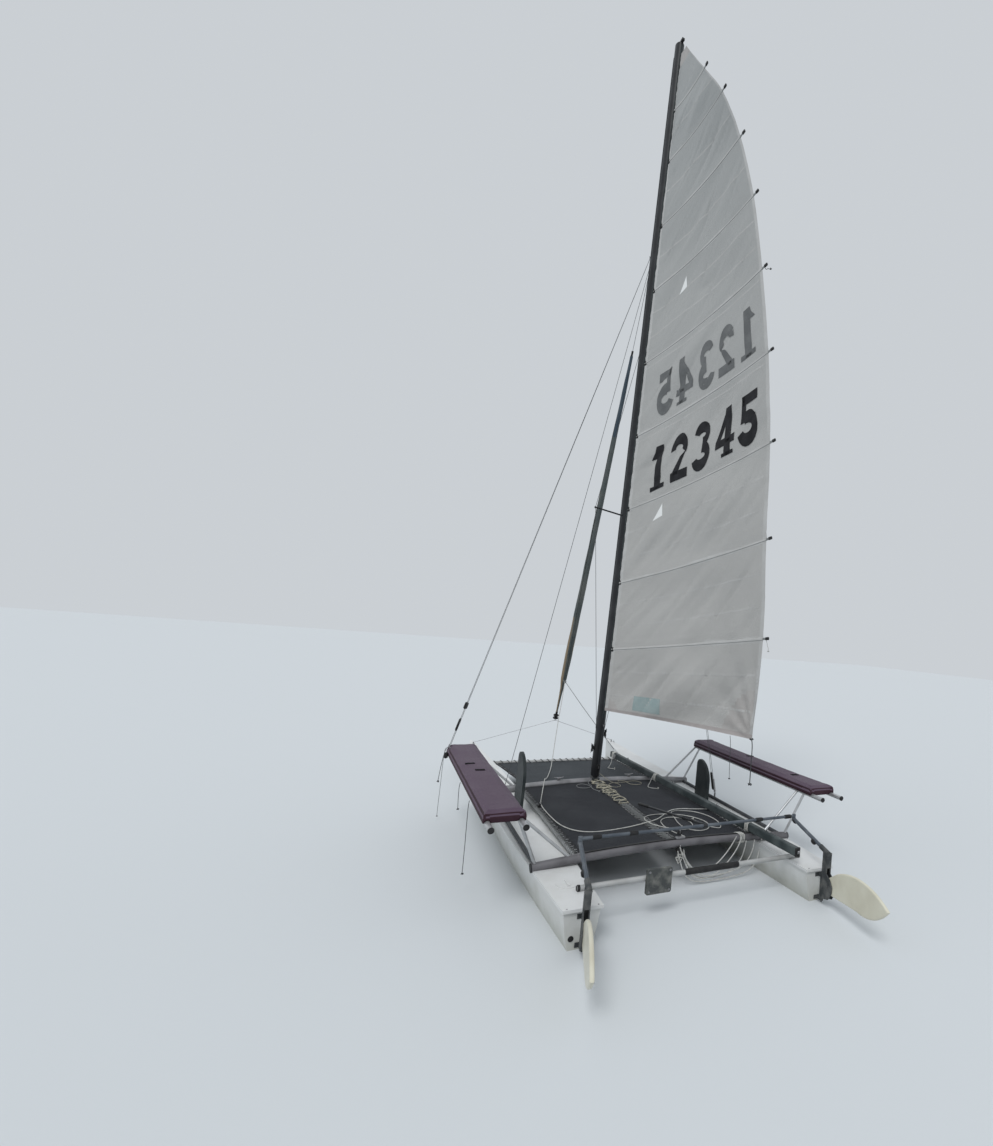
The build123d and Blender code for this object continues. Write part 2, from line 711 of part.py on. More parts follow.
rest_aft = arch_z(boom_y(REAR_BEAM_X) + BOOM_WIDTH / 2) + REAR_BEAM_R
rest_fore = arch_z(boom_y(FRONT_BEAM_X) + BOOM_WIDTH / 2) + FRONT_BEAM_R
boom_slope = (rest_fore - rest_aft) / (FRONT_BEAM_X - REAR_BEAM_X)


def boom_bottom(x):
    return rest_aft + boom_slope * (x - REAR_BEAM_X) + GAP


boom_a = Vector(BOOM_AFT[0], BOOM_AFT[1], boom_bottom(BOOM_AFT[0]) + BOOM_HEIGHT / 2)
boom_b = Vector(BOOM_FORE[0], BOOM_FORE[1], boom_bottom(BOOM_FORE[0]) + BOOM_HEIGHT / 2)
boom_across = (boom_b - boom_a).cross(Vector(0, 0, 1))
boom_plane = Plane(origin=boom_a, x_dir=boom_across, z_dir=boom_b - boom_a)
boom_ring = RectangleRounded(BOOM_WIDTH, BOOM_HEIGHT, 12) - RectangleRounded(
    BOOM_WIDTH - 2 * BOOM_WALL, BOOM_HEIGHT - 2 * BOOM_WALL, 9
)
save("boom", extrude(boom_plane * boom_ring, amount=(boom_b - boom_a).length))

# Daggerboards in their slots, with a collar on the deck round each

collars = []
for side, sign in SIDES.items():
    low = BOARD_FOOT_Z[side]
    aft, fore, top = BOARD_X - BOARD_CHORD / 2, BOARD_X + BOARD_CHORD / 2, low + BOARD_LENGTH
    y = sign * HULL_Y - BOARD_THICK / 2
    face = ring_face([
        Line((aft + 60, y, low), (fore - 20, y, low)),
        Line((fore - 20, y, low), (fore, y, low + 60)),
        Line((fore, y, low + 60), (fore, y, top - 60)),
        ThreePointArc((fore, y, top - 60), (fore - 28, y, top - 12), (fore - 80, y, top)),
        ThreePointArc((fore - 80, y, top), (aft + 55, y, top - 80), (aft, y, top - BOARD_HEAD)),
        Line((aft, y, top - BOARD_HEAD), (aft, y, low + 40)),
        Line((aft, y, low + 40), (aft + 60, y, low)),
    ])
    board = extrude(face, amount=BOARD_THICK, dir=(0, 1, 0))
    save(f"daggerboard_{side}", board)
    rim_x = BOARD_CHORD / 2 + BOARD_CLEAR + COLLAR_RIM
    rim_y = BOARD_THICK / 2 + BOARD_CLEAR + COLLAR_RIM
    rim = box((BOARD_X - rim_x, BOARD_X + rim_x), (-rim_y, rim_y), (DECK_Z, DECK_Z + COLLAR_HEIGHT))
    rim = fillet(rim.edges().filter_by(Axis.Z), 16) - board_slot(COLLAR_CLEAR, COLLAR_CLEAR)
    collars.append(Pos(0, sign * HULL_Y, 0) * rim)
save("board_collars", *collars)

# Rudders: gudgeons and pin on the transom, a turning head, a kick-up blade and a tiller arm

gudgeons = []
for side, sign in SIDES.items():
    pin_at = Pos(PIN_X, sign * HULL_Y, 0)
    fitting = pin_at * Pos(0, 0, sum(GUDGEON_Z) / 2) * Cylinder(
        PIN_R, GUDGEON_Z[1] - GUDGEON_Z[0] + 2 * GUDGEON_THICK
    )
    for z in GUDGEON_Z:
        lug = Pos(PIN_X, sign * HULL_Y, z) * Cylinder(14, GUDGEON_THICK)
        arm = box((PIN_X, -4), (sign * HULL_Y - 11, sign * HULL_Y + 11), (z - 10, z + 10))
        pad = box((-5, -GAP), (sign * HULL_Y - 34, sign * HULL_Y + 34), (z - 16, z + 16))
        fitting = fitting + lug + arm + pad
    gudgeons.append(fitting)
save("gudgeons", *gudgeons)


def blade_point(a, b):
    """A point of the blade's outline: a aft from the pivot, b up, before it is kicked up."""
    return (BLADE_PIVOT[0] - a, 0, BLADE_PIVOT[1] + b)


def blade_solid():
    outline = ring_face([
        Line(blade_point(-45, -60), blade_point(380, -82)),
        ThreePointArc(blade_point(380, -82), blade_point(640, -60), blade_point(765, 25)),
        ThreePointArc(blade_point(765, 25), blade_point(520, 140), blade_point(130, 130)),
        Line(blade_point(130, 130), blade_point(-10, 60)),
        ThreePointArc(blade_point(-10, 60), blade_point(-48, 22), blade_point(-45, -60)),
    ])
    blade = extrude(outline, amount=BLADE_THICK / 2, dir=(0, 1, 0), both=True)
    long_edges = blade.edges().filter_by(lambda e: e.length > 200)
    blade = fillet(long_edges, BLADE_THICK / 2 - 1)
    bolt_place = Pos(BLADE_PIVOT[0], 0, BLADE_PIVOT[1]) * Rot(90, 0, 0)
    bolt = bolt_place * Cylinder(BLADE_BOLT_R + PIN_CLEAR, 60)
    turned = Pos(BLADE_PIVOT[0], 0, BLADE_PIVOT[1]) * Rot(0, BLADE_RISE, 0) * Pos(
        -BLADE_PIVOT[0], 0, -BLADE_PIVOT[1]
    )
    return turned * (blade - bolt)


def head_solid():
    cheek_line = [
        (0, 202), (-120, 235), (-165, 300), (-168, 350), (-130, 395), (-75, 425),
        (-75, TILLER_ROOT_Z), (-8, TILLER_ROOT_Z), (-8, 430), (0, 364),
    ]
    wires = Polyline(*[(x, 0, z) for x, z in cheek_line], close=True)
    cheek = Face(Wire(wires.edges()))
    slab = extrude(cheek, amount=HEAD_HALF, dir=(0, 1, 0), both=True)
    gap_half = HEAD_HALF - CHEEK_THICK
    slab = slab - box((-400, -24), (-gap_half, gap_half), (150, 470))
    barrel = Pos(0, 0, (202 + 364) / 2) * Cylinder(HEAD_HALF, 364 - 202)
    head = slab + barrel - Pos(0, 0, 300) * Cylinder(PIN_R + PIN_CLEAR, 400)
    head = head - box((-14.5, 60), (-60, 60), (364, 400)) - Pos(0, 0, 382) * Cylinder(17, 36)
    bolt_place = Pos(BLADE_PIVOT[0], 0, BLADE_PIVOT[1]) * Rot(90, 0, 0)
    bolt = bolt_place * Cylinder(BLADE_BOLT_R, 2 * HEAD_HALF + 12)
    return head + bolt


def tiller_line(distance):
    rise = (TILLER_TIP_Z - TILLER_ROOT_Z) / TILLER_REACH
    return (distance, 0, TILLER_ROOT_Z + rise * distance)


for side, sign in SIDES.items():
    pin = Pos(PIN_X, sign * HULL_Y, 0)
    steer = pin * Rot(0, 0, -BLADE_HEADING[side])
    arm_turn = pin * Rot(0, 0, -STEER_REST)
    save(f"rudder_blade_{side}", steer * blade_solid())
    socket = rod(tiller_line(-70), tiller_line(TILLER_START), TILLER_R + 5)
    save(f"rudder_head_{side}", steer * head_solid() + arm_turn * socket)
    arm = rod(tiller_line(TILLER_START), tiller_line(TILLER_REACH), TILLER_R)
    boss = Pos(TILLER_REACH, 0, TILLER_TIP_Z - 4) * Cylinder(19, 30)
    hole = Pos(TILLER_REACH, 0, TILLER_TIP_Z) * Cylinder(PIN_R + PIN_CLEAR, 120)
    above = Pos(TILLER_REACH, 0, CROSSBAR_Z - CROSSBAR_R - 3 - GAP + 40) * Cylinder(40, 80)
    save(f"tiller_arm_{side}", arm_turn * (arm + boss - hole - above))

turn = math.radians(STEER_REST)
bar_x = PIN_X + TILLER_REACH * math.cos(turn)
bar_shift = -TILLER_REACH * math.sin(turn)
ends = [(bar_x, sign * HULL_Y + bar_shift, CROSSBAR_Z) for sign in SIDES.values()]
crossbar = tube(ends[0], ends[1], CROSSBAR_R, 2)
for x, y, z in ends:
    cap = Pos(x, y, z) * Cylinder(17, 2 * CROSSBAR_R + 6)
    pin_low = TILLER_TIP_Z - 19
    pin = Pos(x, y, (z + pin_low) / 2) * Cylinder(PIN_R, z - pin_low)
    crossbar = crossbar + cap + pin
save("tiller_crossbar", crossbar)

stick_root = Vector(bar_x + 38, EXTENSION_ROOT_Y, CROSSBAR_Z)
tip_z = arch_z(EXTENSION_TIP[1]) + TRAMP_THICK / 2 + EXTENSION_R + 6
stick = rod(stick_root, (*EXTENSION_TIP, tip_z), EXTENSION_R)
knuckle = Pos(bar_x, EXTENSION_ROOT_Y, CROSSBAR_Z) * Rot(90, 0, 0) * (
    Cylinder(CROSSBAR_R + 7, 34) - Cylinder(CROSSBAR_R + GAP, 40)
)
knuckle = knuckle + box(
    (bar_x + CROSSBAR_R + 4, bar_x + 42),
    (EXTENSION_ROOT_Y - 9, EXTENSION_ROOT_Y + 9),
    (CROSSBAR_Z - 9, CROSSBAR_Z + 9),
)
save("tiller_extension", stick + knuckle)
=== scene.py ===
import math

import bmesh
import bpy
from mathutils import Matrix, Vector, noise


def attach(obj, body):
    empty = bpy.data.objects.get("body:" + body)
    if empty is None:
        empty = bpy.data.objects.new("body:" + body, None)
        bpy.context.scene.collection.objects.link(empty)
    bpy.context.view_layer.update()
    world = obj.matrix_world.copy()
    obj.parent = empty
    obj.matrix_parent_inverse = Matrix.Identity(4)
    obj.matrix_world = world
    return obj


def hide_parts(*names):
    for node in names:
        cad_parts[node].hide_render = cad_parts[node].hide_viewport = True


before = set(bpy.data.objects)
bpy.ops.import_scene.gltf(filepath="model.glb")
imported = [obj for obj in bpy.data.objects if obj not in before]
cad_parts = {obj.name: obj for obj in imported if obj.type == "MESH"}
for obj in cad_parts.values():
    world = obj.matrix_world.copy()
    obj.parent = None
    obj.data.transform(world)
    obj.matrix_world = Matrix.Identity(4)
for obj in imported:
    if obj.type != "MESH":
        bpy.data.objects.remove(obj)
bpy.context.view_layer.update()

# Every place below is in metres from the middle of the transoms, like the drawings
TRANSOM_X = -2.285
WATERLINE = 0.160
HULL_Y = 1.012
REAR_BEAM_X, FRONT_BEAM_X = 0.728, 2.938
SIDES = ((1, "port"), (-1, "starboard"))
UP = Vector((0, 0, 1))


def at(x, y, z):
    return Vector((x + TRANSOM_X, y, z))


def linked(name, data):
    """A new object in the scene that shows the given mesh, curve, camera or light."""
    obj = bpy.data.objects.new(name, data)
    bpy.context.scene.collection.objects.link(obj)
    return obj


def as_mesh(obj):
    """A new mesh of an object as its modifiers leave it."""
    return bpy.data.meshes.new_from_object(obj.evaluated_get(bpy.context.evaluated_depsgraph_get()))


# Camera, at the photograph's place

camera_data = bpy.data.cameras.new("camera")
camera = linked("camera", camera_data)
bpy.context.scene.camera = camera
yaw, pitch, roll = math.radians(32.35), math.radians(3.85), math.radians(4.86)
ahead = Vector((math.cos(yaw) * math.cos(pitch), -math.sin(yaw) * math.cos(pitch), math.sin(pitch)))
level = Vector((-math.sin(yaw), -math.cos(yaw), 0))
upright = level.cross(ahead)
right = math.cos(roll) * level + math.sin(roll) * upright
above = -math.sin(roll) * level + math.cos(roll) * upright
turned = Matrix((right, above, -ahead)).transposed().to_4x4()
camera.matrix_world = Matrix.Translation(at(-3.962, 2.397, 2.287)) @ turned
camera_data.lens = 18.603
camera_data.shift_x = -0.2227
camera_data.shift_y = 0.02504
camera_data.clip_start = 0.05
camera_data.clip_end = 400

# Small tools for making meshes


class Shape:
    """Points and faces of one piece, with a material slot for each face."""

    def __init__(self):
        self.points = []
        self.faces = []
        self.slots = []

    def add(self, points, faces, slot=0):
        start = len(self.points)
        self.points += [Vector(p) for p in points]
        self.faces += [[start + i for i in face] for face in faces]
        self.slots += [slot] * len(faces)

    def rings(self, rings, slot=0, capped=True, closed=True, looped=False):
        """Skin over a row of rings with the same number of points."""
        n = len(rings[0])
        faces = []
        count = len(rings)
        for i in range(count if looped else count - 1):
            j = (i + 1) % count
            for k in range(n if closed else n - 1):
                m = (k + 1) % n
                faces.append([i * n + k, i * n + m, j * n + m, j * n + k])
        if capped and not looped:
            faces.append(list(range(n))[::-1])
            faces.append([(count - 1) * n + k for k in range(n)])
        self.add([p for ring in rings for p in ring], faces, slot)

    def tube(self, path, radius, sides=8, slot=0, looped=False):
        """A round bar along a path of points; radius may be one number or one for each point."""
        path = [Vector(p) for p in path]
        radii = radius if isinstance(radius, (list, tuple)) else [radius] * len(path)
        rings = []
        side = None
        for i, p in enumerate(path):
            before = path[i - 1] if i or looped else p
            after = path[(i + 1) % len(path)] if i < len(path) - 1 or looped else p
            along = (after - before).normalized()
            if side is None:
                side = along.orthogonal().normalized()
            side = (side - along * side.dot(along)).normalized()
            other = along.cross(side)
            rings.append([
                p + radii[i] * (math.cos(a) * side + math.sin(a) * other)
                for a in (2 * math.pi * k / sides for k in range(sides))
            ])
        self.rings(rings, slot, looped=looped)

    def turned(self, place, profile, sides=24, slot=0):
        """A turned solid: profile is (radius, height) along the local z of place."""
        rings = [
            [place @ Vector((r * math.cos(a), r * math.sin(a), h))
             for a in (2 * math.pi * k / sides for k in range(sides))]
            for r, h in profile
        ]
        self.rings(rings, slot)

    def block(self, place, size, edge=0.002, slot=0):
        """A box with chamfered upright edges and a chamfered top and foot."""
        hx, hy, hz = (d / 2 for d in size)
        e = min(edge, hx * 0.45, hy * 0.45, hz * 0.45)

        def outline(inset, z):
            x, y, c = hx - inset, hy - inset, e
            corners = [(x, -y + c), (x, y - c), (x - c, y), (-x + c, y),
                       (-x, y - c), (-x, -y + c), (-x + c, -y), (x - c, -y)]
            return [place @ Vector((a, b, z)) for a, b in corners]

        self.rings([outline(e, -hz), outline(0, -hz + e), outline(0, hz - e), outline(e, hz)], slot)

    def piece(self, name, body, materials, replaces=(), smooth=35, made=True):
        mesh = bpy.data.meshes.new(name)
        mesh.from_pydata(self.points, [], self.faces)
        for material in materials:
            mesh.materials.append(material)
        mesh.polygons.foreach_set("material_index", self.slots)
        mesh.validate()
        shape = bmesh.new()
        shape.from_mesh(mesh)
        bmesh.ops.remove_doubles(shape, verts=shape.verts, dist=1e-6)
        if made:
            bmesh.ops.recalc_face_normals(shape, faces=shape.faces)
        shape.to_mesh(mesh)
        shape.free()
        mesh.shade_smooth()
        if smooth < 180:
            mesh.set_sharp_from_angle(angle=math.radians(smooth))
        obj = linked(name, mesh)
        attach(obj, body)
        if replaces:
            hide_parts(*replaces)
        return obj


def smooth_step(a, b, c, d, t):
    """A share t of the way from b to c, on the smooth line through all four."""
    return 0.5 * (2 * b + (c - a) * t + (2 * a - 5 * b + 4 * c - d) * t**2 + (3 * b - a - 3 * c + d) * t**3)


def smooth_path(points, steps=6, looped=False):
    """Points on a smooth line through the given ones."""
    points = [Vector(p) for p in points]
    n = len(points)
    line = []
    for i in range(n if looped else n - 1):
        near = [points[(i + k) % n if looped else min(max(i + k, 0), n - 1)] for k in (-1, 0, 1, 2)]
        line += [smooth_step(*near, k / steps) for k in range(steps)]
    if not looped:
        line.append(points[-1])
    return line


def frame_at(origin, up, hint=(1, 0, 0)):
    """A matrix whose z is up and whose x is as near as can be to hint."""
    z = Vector(up).normalized()
    x = Vector(hint) - z * z.dot(Vector(hint))
    x.normalize()
    return Matrix.Translation(Vector(origin)) @ Matrix((x, z.cross(x), z)).transposed().to_4x4()


# Shader groups that several finishes share


def shader_group(name, inputs, outputs):
    group = bpy.data.node_groups.new(name, "ShaderNodeTree")
    for label, kind, value in inputs:
        socket = group.interface.new_socket(name=label, in_out="INPUT", socket_type=kind)
        if value is not None:
            socket.default_value = value
    for label, kind in outputs:
        group.interface.new_socket(name=label, in_out="OUTPUT", socket_type=kind)
    return group, group.nodes.new("NodeGroupInput"), group.nodes.new("NodeGroupOutput")


def feed(tree, socket, value):
    """Links an output into an input socket, or writes a plain value there."""
    if isinstance(value, bpy.types.NodeSocket):
        tree.links.new(value, socket)
    else:
        socket.default_value = value


def add_node(tree, kind, settings=None, **inputs):
    """A new node; an input's name is given with an underscore for a space."""
    made = tree.nodes.new(kind)
    for key, value in (settings or {}).items():
        setattr(made, key, value)
    for key, value in inputs.items():
        feed(tree, made.inputs[key.replace("_", " ")], value)
    return made


def maths(tree, how, a, b=0.0):
    made = tree.nodes.new("ShaderNodeMath")
    made.operation = how
    for socket, value in zip(made.inputs, (a, b)):
        feed(tree, socket, value)
    return made.outputs[0]


# A mix node's sockets for its share, its two colours and the colour that it gives
MIX_SHARE, MIX_A, MIX_B, MIX_RESULT = 0, 6, 7, 2


def blend_colours(tree, share, a, b):
    made = tree.nodes.new("ShaderNodeMix")
    made.data_type = "RGBA"
    for index, value in ((MIX_SHARE, share), (MIX_A, a), (MIX_B, b)):
        feed(tree, made.inputs[index], value)
    return made.outputs[MIX_RESULT]


def ranged(tree, value, low, high, to_low=0.0, to_high=1.0):
    made = tree.nodes.new("ShaderNodeMapRange")
    tree.links.new(value, made.inputs["Value"])
    for label, number in (("From Min", low), ("From Max", high), ("To Min", to_low), ("To Max", to_high)):
        made.inputs[label].default_value = number
    return made.outputs["Result"]


def build_weathering():
    """Patches of a second colour, fine scuffs and an uneven gloss."""
    tree, inside, outside = shader_group(
        "weathering",
        [("Vector", "NodeSocketVector", None), ("Colour", "NodeSocketColor", (0.5, 0.5, 0.5, 1)),
         ("Worn", "NodeSocketColor", (0.3, 0.3, 0.3, 1)), ("Patch Size", "NodeSocketFloat", 3.0),
         ("Patches", "NodeSocketFloat", 0.3), ("Scuffs", "NodeSocketFloat", 0.2),
         ("Roughness", "NodeSocketFloat", 0.4)],
        [("Colour", "NodeSocketColor"), ("Roughness", "NodeSocketFloat"), ("Height", "NodeSocketFloat")],
    )
    vector = inside.outputs["Vector"]
    broad = add_node(tree, "ShaderNodeTexNoise", Vector=vector, Scale=inside.outputs["Patch Size"],
                     Detail=6.0)
    fine = add_node(tree, "ShaderNodeTexNoise", Vector=vector, Scale=90.0, Detail=5.0)
    stretched = add_node(tree, "ShaderNodeMapping", Vector=vector, Scale=(14.0, 3.0, 40.0))
    scuff = add_node(tree, "ShaderNodeTexNoise", Vector=stretched.outputs[0], Scale=3.0, Detail=8.0,
                     Roughness=0.75)
    patch = maths(tree, "MULTIPLY", ranged(tree, broad.outputs[0], 0.42, 0.72), inside.outputs["Patches"])
    marks = maths(tree, "MULTIPLY", ranged(tree, scuff.outputs[0], 0.60, 0.72), inside.outputs["Scuffs"])
    share = maths(tree, "MINIMUM", maths(tree, "ADD", patch, marks), 1.0)
    colour = blend_colours(tree, share, inside.outputs["Colour"], inside.outputs["Worn"])
    rough = maths(tree, "ADD", inside.outputs["Roughness"],
                  ranged(tree, fine.outputs[0], 0.3, 0.7, -0.06, 0.06))
    rough = maths(tree, "ADD", rough, maths(tree, "MULTIPLY", marks, 0.3))
    tree.links.new(colour, outside.inputs["Colour"])
    tree.links.new(rough, outside.inputs["Roughness"])
    dents = maths(tree, "MULTIPLY", marks, -0.6)
    height = maths(tree, "ADD", maths(tree, "MULTIPLY", fine.outputs[0], 0.3), dents)
    tree.links.new(height, outside.inputs["Height"])
    return tree


def build_weave():
    """Crossed threads, so many to the metre, and the gaps between them, which finishes darken as painted
    shade.
    """
    tree, inside, outside = shader_group(
        "weave",
        [("Vector", "NodeSocketVector", None), ("Threads", "NodeSocketFloat", 250.0)],
        [("Height", "NodeSocketFloat"), ("Gaps", "NodeSocketFloat")],
    )
    split = add_node(tree, "ShaderNodeSeparateXYZ", Vector=inside.outputs["Vector"])
    waves = []
    for axis in (0, 1):
        turn = maths(tree, "MULTIPLY", split.outputs[axis], inside.outputs["Threads"])
        waves.append(maths(tree, "ABSOLUTE", maths(tree, "SINE", maths(tree, "MULTIPLY", turn, math.pi))))
    tree.links.new(maths(tree, "MAXIMUM", *waves), outside.inputs["Height"])
    gaps = maths(tree, "SUBTRACT", 1.0, maths(tree, "MAXIMUM", *waves))
    tree.links.new(gaps, outside.inputs["Gaps"])
    return tree


WEATHERING = build_weathering()
WEAVE = build_weave()


def tint(tree, share, colour):
    """Lays one more colour over a finish, by a share."""
    base = tree.nodes["Principled BSDF"].inputs["Base Color"]
    tree.links.new(blend_colours(tree, share, base.links[0].from_socket, (*colour, 1)), base)


def opened(material):
    """A finish's node tree and the outputs of its coordinates' node."""
    tree = material.node_tree
    return tree, next(n for n in tree.nodes if n.type == "TEX_COORD").outputs


def finish(name, colour, worn, patch_size=3.0, patches=0.3, scuffs=0.2, roughness=0.4, metallic=0.0,
           bump=0.0004, coat=0.0, sheen=0.0, weave=None, shine=0.5):
    """A finish for one kind of surface, on Object coordinates; weave is its threads to the metre."""
    material = bpy.data.materials.new(name)
    material.use_nodes = True
    tree = material.node_tree
    bsdf = tree.nodes["Principled BSDF"]
    place = add_node(tree, "ShaderNodeTexCoord").outputs["Object"]
    wear = add_node(tree, "ShaderNodeGroup", {"node_tree": WEATHERING}, Vector=place, Colour=(*colour, 1),
                    Worn=(*worn, 1), Patch_Size=patch_size, Patches=patches, Scuffs=scuffs,
                    Roughness=roughness)
    tree.links.new(wear.outputs["Colour"], bsdf.inputs["Base Color"])
    tree.links.new(wear.outputs["Roughness"], bsdf.inputs["Roughness"])
    for label, value in (("Metallic", metallic), ("Coat Weight", coat), ("Sheen Weight", sheen),
                         ("Specular IOR Level", shine)):
        bsdf.inputs[label].default_value = value
    height = wear.outputs["Height"]
    if weave:
        threads = add_node(tree, "ShaderNodeGroup", {"node_tree": WEAVE}, Vector=place, Threads=weave)
        height = maths(tree, "ADD", height, threads.outputs["Height"])
        # The gaps between the threads are darkened: painted shade in the weave's hollows.
        tint(tree, maths(tree, "MULTIPLY", threads.outputs["Gaps"], 0.6), [c * 0.35 for c in colour])
    bumped = add_node(tree, "ShaderNodeBump", Height=height, Distance=bump, Strength=0.6)
    tree.links.new(bumped.outputs[0], bsdf.inputs["Normal"])
    return material


deck_coat = finish("deck_coat", (0.66, 0.67, 0.67), (0.46, 0.46, 0.43), 4.0, 0.35, 0.25, 0.5, bump=0.0008)
beam_alloy = finish("beam_alloy", (0.30, 0.30, 0.31), (0.10, 0.10, 0.105), 6.0, 0.7, 0.5, 0.42, metallic=0.55)
# The rear beam's alloy is darker than the front beam's: partly dull weathered metal, partly painted shade.
rear_alloy_dull_and_shaded = finish("rear_alloy_dull_and_shaded", (0.17, 0.165, 0.175), (0.05, 0.05, 0.052), 5.0, 0.8, 0.5, 0.45,
                    metallic=0.4)
strut_alloy = finish("strut_alloy", (0.50, 0.51, 0.52), (0.22, 0.22, 0.22), 9.0, 0.5, 0.4, 0.35, metallic=0.7)
stern_alloy = finish("stern_alloy", (0.42, 0.425, 0.42), (0.18, 0.18, 0.17), 5.0, 0.6, 0.5, 0.45,
                     metallic=0.3)
rail_alloy = finish("rail_alloy", (0.22, 0.225, 0.23), (0.08, 0.08, 0.08), 7.0, 0.6, 0.5, 0.45, metallic=0.3)
dark_tube = finish("dark_tube", (0.035, 0.039, 0.045), (0.12, 0.12, 0.12), 8.0, 0.4, 0.4, 0.5, shine=0.3)
mast_black = finish("mast_black", (0.010, 0.011, 0.013), (0.040, 0.042, 0.045), 5.0, 0.5, 0.5, 0.42,
                    shine=0.35)
boom_grey = finish("boom_grey", (0.030, 0.040, 0.042), (0.13, 0.15, 0.15), 6.0, 0.5, 0.8, 0.5, shine=0.35)
tiller_alloy = finish("tiller_alloy", (0.075, 0.09, 0.11), (0.22, 0.24, 0.26), 7.0, 0.5, 0.4, 0.42,
                      metallic=0.4)
cast_alloy = finish("cast_alloy", (0.045, 0.05, 0.053), (0.20, 0.20, 0.19), 14.0, 0.6, 0.6, 0.6, metallic=0.3,
                    shine=0.3)
steel = finish("steel", (0.30, 0.30, 0.31), (0.15, 0.14, 0.135), 20.0, 0.4, 0.2, 0.35, metallic=0.8)
black_plastic = finish("black_plastic", (0.012, 0.012, 0.013), (0.045, 0.045, 0.044), 20.0, 0.4, 0.3, 0.55,
                       shine=0.3)
board_paint = finish("board_paint", (0.014, 0.020, 0.022), (0.055, 0.065, 0.062), 7.0, 0.5, 0.5, 0.5,
                     shine=0.3)
blade_cream = finish("blade_cream", (0.62, 0.60, 0.49), (0.38, 0.34, 0.24), 5.0, 0.4, 0.35, 0.4, coat=0.2)
plate_grey = finish("plate_grey", (0.055, 0.06, 0.06), (0.22, 0.22, 0.20), 16.0, 0.7, 0.6, 0.65, shine=0.3)
mesh_cloth = finish("mesh_cloth", (0.019, 0.021, 0.026), (0.042, 0.046, 0.052), 2.5, 0.5, 0.25, 0.8,
                    bump=0.0012, weave=220.0, shine=0.25)
fore_cloth = finish("fore_cloth", (0.030, 0.036, 0.042), (0.060, 0.068, 0.076), 2.5, 0.5, 0.25, 0.8,
                    bump=0.0012, weave=220.0, shine=0.3)
hem_cloth = finish("hem_cloth", (0.012, 0.013, 0.015), (0.035, 0.036, 0.038), 6.0, 0.4, 0.3, 0.75,
                   weave=400.0, shine=0.25)
seat_cloth = finish("seat_cloth", (0.082, 0.050, 0.082), (0.115, 0.085, 0.115), 3.0, 0.6, 0.3, 0.62,
                    bump=0.0008, weave=350.0, shine=0.4)
# The seats' sides: a darker copy of the seat cloth, painted shade.
seat_side_shade = finish("seat_side_shade", (0.030, 0.010, 0.018), (0.055, 0.026, 0.036), 5.0, 0.5, 0.3, 0.7, weave=350.0,
                   shine=0.25)
# Near-black: painted shade on the seats' undersides, and the real black of the seat straps.
seat_underside_shade_and_strap_black = finish("seat_underside_shade_and_strap_black", (0.004, 0.004, 0.005), (0.015, 0.011, 0.014), 6.0, 0.4, 0.2, 0.85,
                   weave=350.0, shine=0.1)
sail_tape = finish("sail_tape", (0.50, 0.50, 0.49), (0.36, 0.355, 0.34), 6.0, 0.4, 0.2, 0.6, weave=600.0,
                   shine=0.3)
sail_patch = finish("sail_patch", (0.44, 0.425, 0.41), (0.33, 0.305, 0.295), 9.0, 0.5, 0.3, 0.65, weave=500.0,
                    shine=0.3)
foot_band = finish("foot_band", (0.40, 0.37, 0.36), (0.30, 0.265, 0.26), 5.0, 0.5, 0.3, 0.65, weave=500.0,
                   shine=0.3)
batten_shade = finish("batten_shade", (0.20, 0.21, 0.21), (0.30, 0.31, 0.31), 12.0, 0.4, 0.2, 0.55, shine=0.3)
number_black = finish("number_black", (0.010, 0.010, 0.012), (0.035, 0.035, 0.04), 12.0, 0.5, 0.3, 0.6,
                      weave=500.0, shine=0.25)
# Grey digits that stand for the starboard number's shadow seen through the cloth: painted shade.
number_ghost = finish("number_ghost", (0.125, 0.13, 0.132), (0.20, 0.205, 0.205), 9.0, 0.6, 0.3, 0.6,
                      weave=500.0, shine=0.25)
tell_white = finish("tell_white", (0.78, 0.79, 0.78), (0.66, 0.67, 0.66), 9.0, 0.3, 0.1, 0.5)
clear_vinyl = finish("clear_vinyl", (0.27, 0.35, 0.35), (0.36, 0.41, 0.40), 9.0, 0.5, 0.3, 0.25, coat=0.2)


def build_hull_coat():
    """Gelcoat that is stained and greenish where the hull sits in the water."""
    material = finish("gelcoat", (0.64, 0.65, 0.64), (0.46, 0.46, 0.42), 1.6, 0.4, 0.2, 0.34, coat=0.2)
    tree, place = opened(material)
    height = add_node(tree, "ShaderNodeSeparateXYZ", Vector=place["Object"]).outputs[2]
    ragged = add_node(tree, "ShaderNodeTexNoise", Vector=place["Object"], Scale=7.0, Detail=6.0)
    line = maths(tree, "ADD", height, ranged(tree, ragged.outputs[0], 0.3, 0.7, -0.05, 0.05))
    tint(tree, maths(tree, "MULTIPLY", ranged(tree, line, 0.36, 0.16), 0.55), (0.27, 0.27, 0.20))
    return material


gelcoat = build_hull_coat()


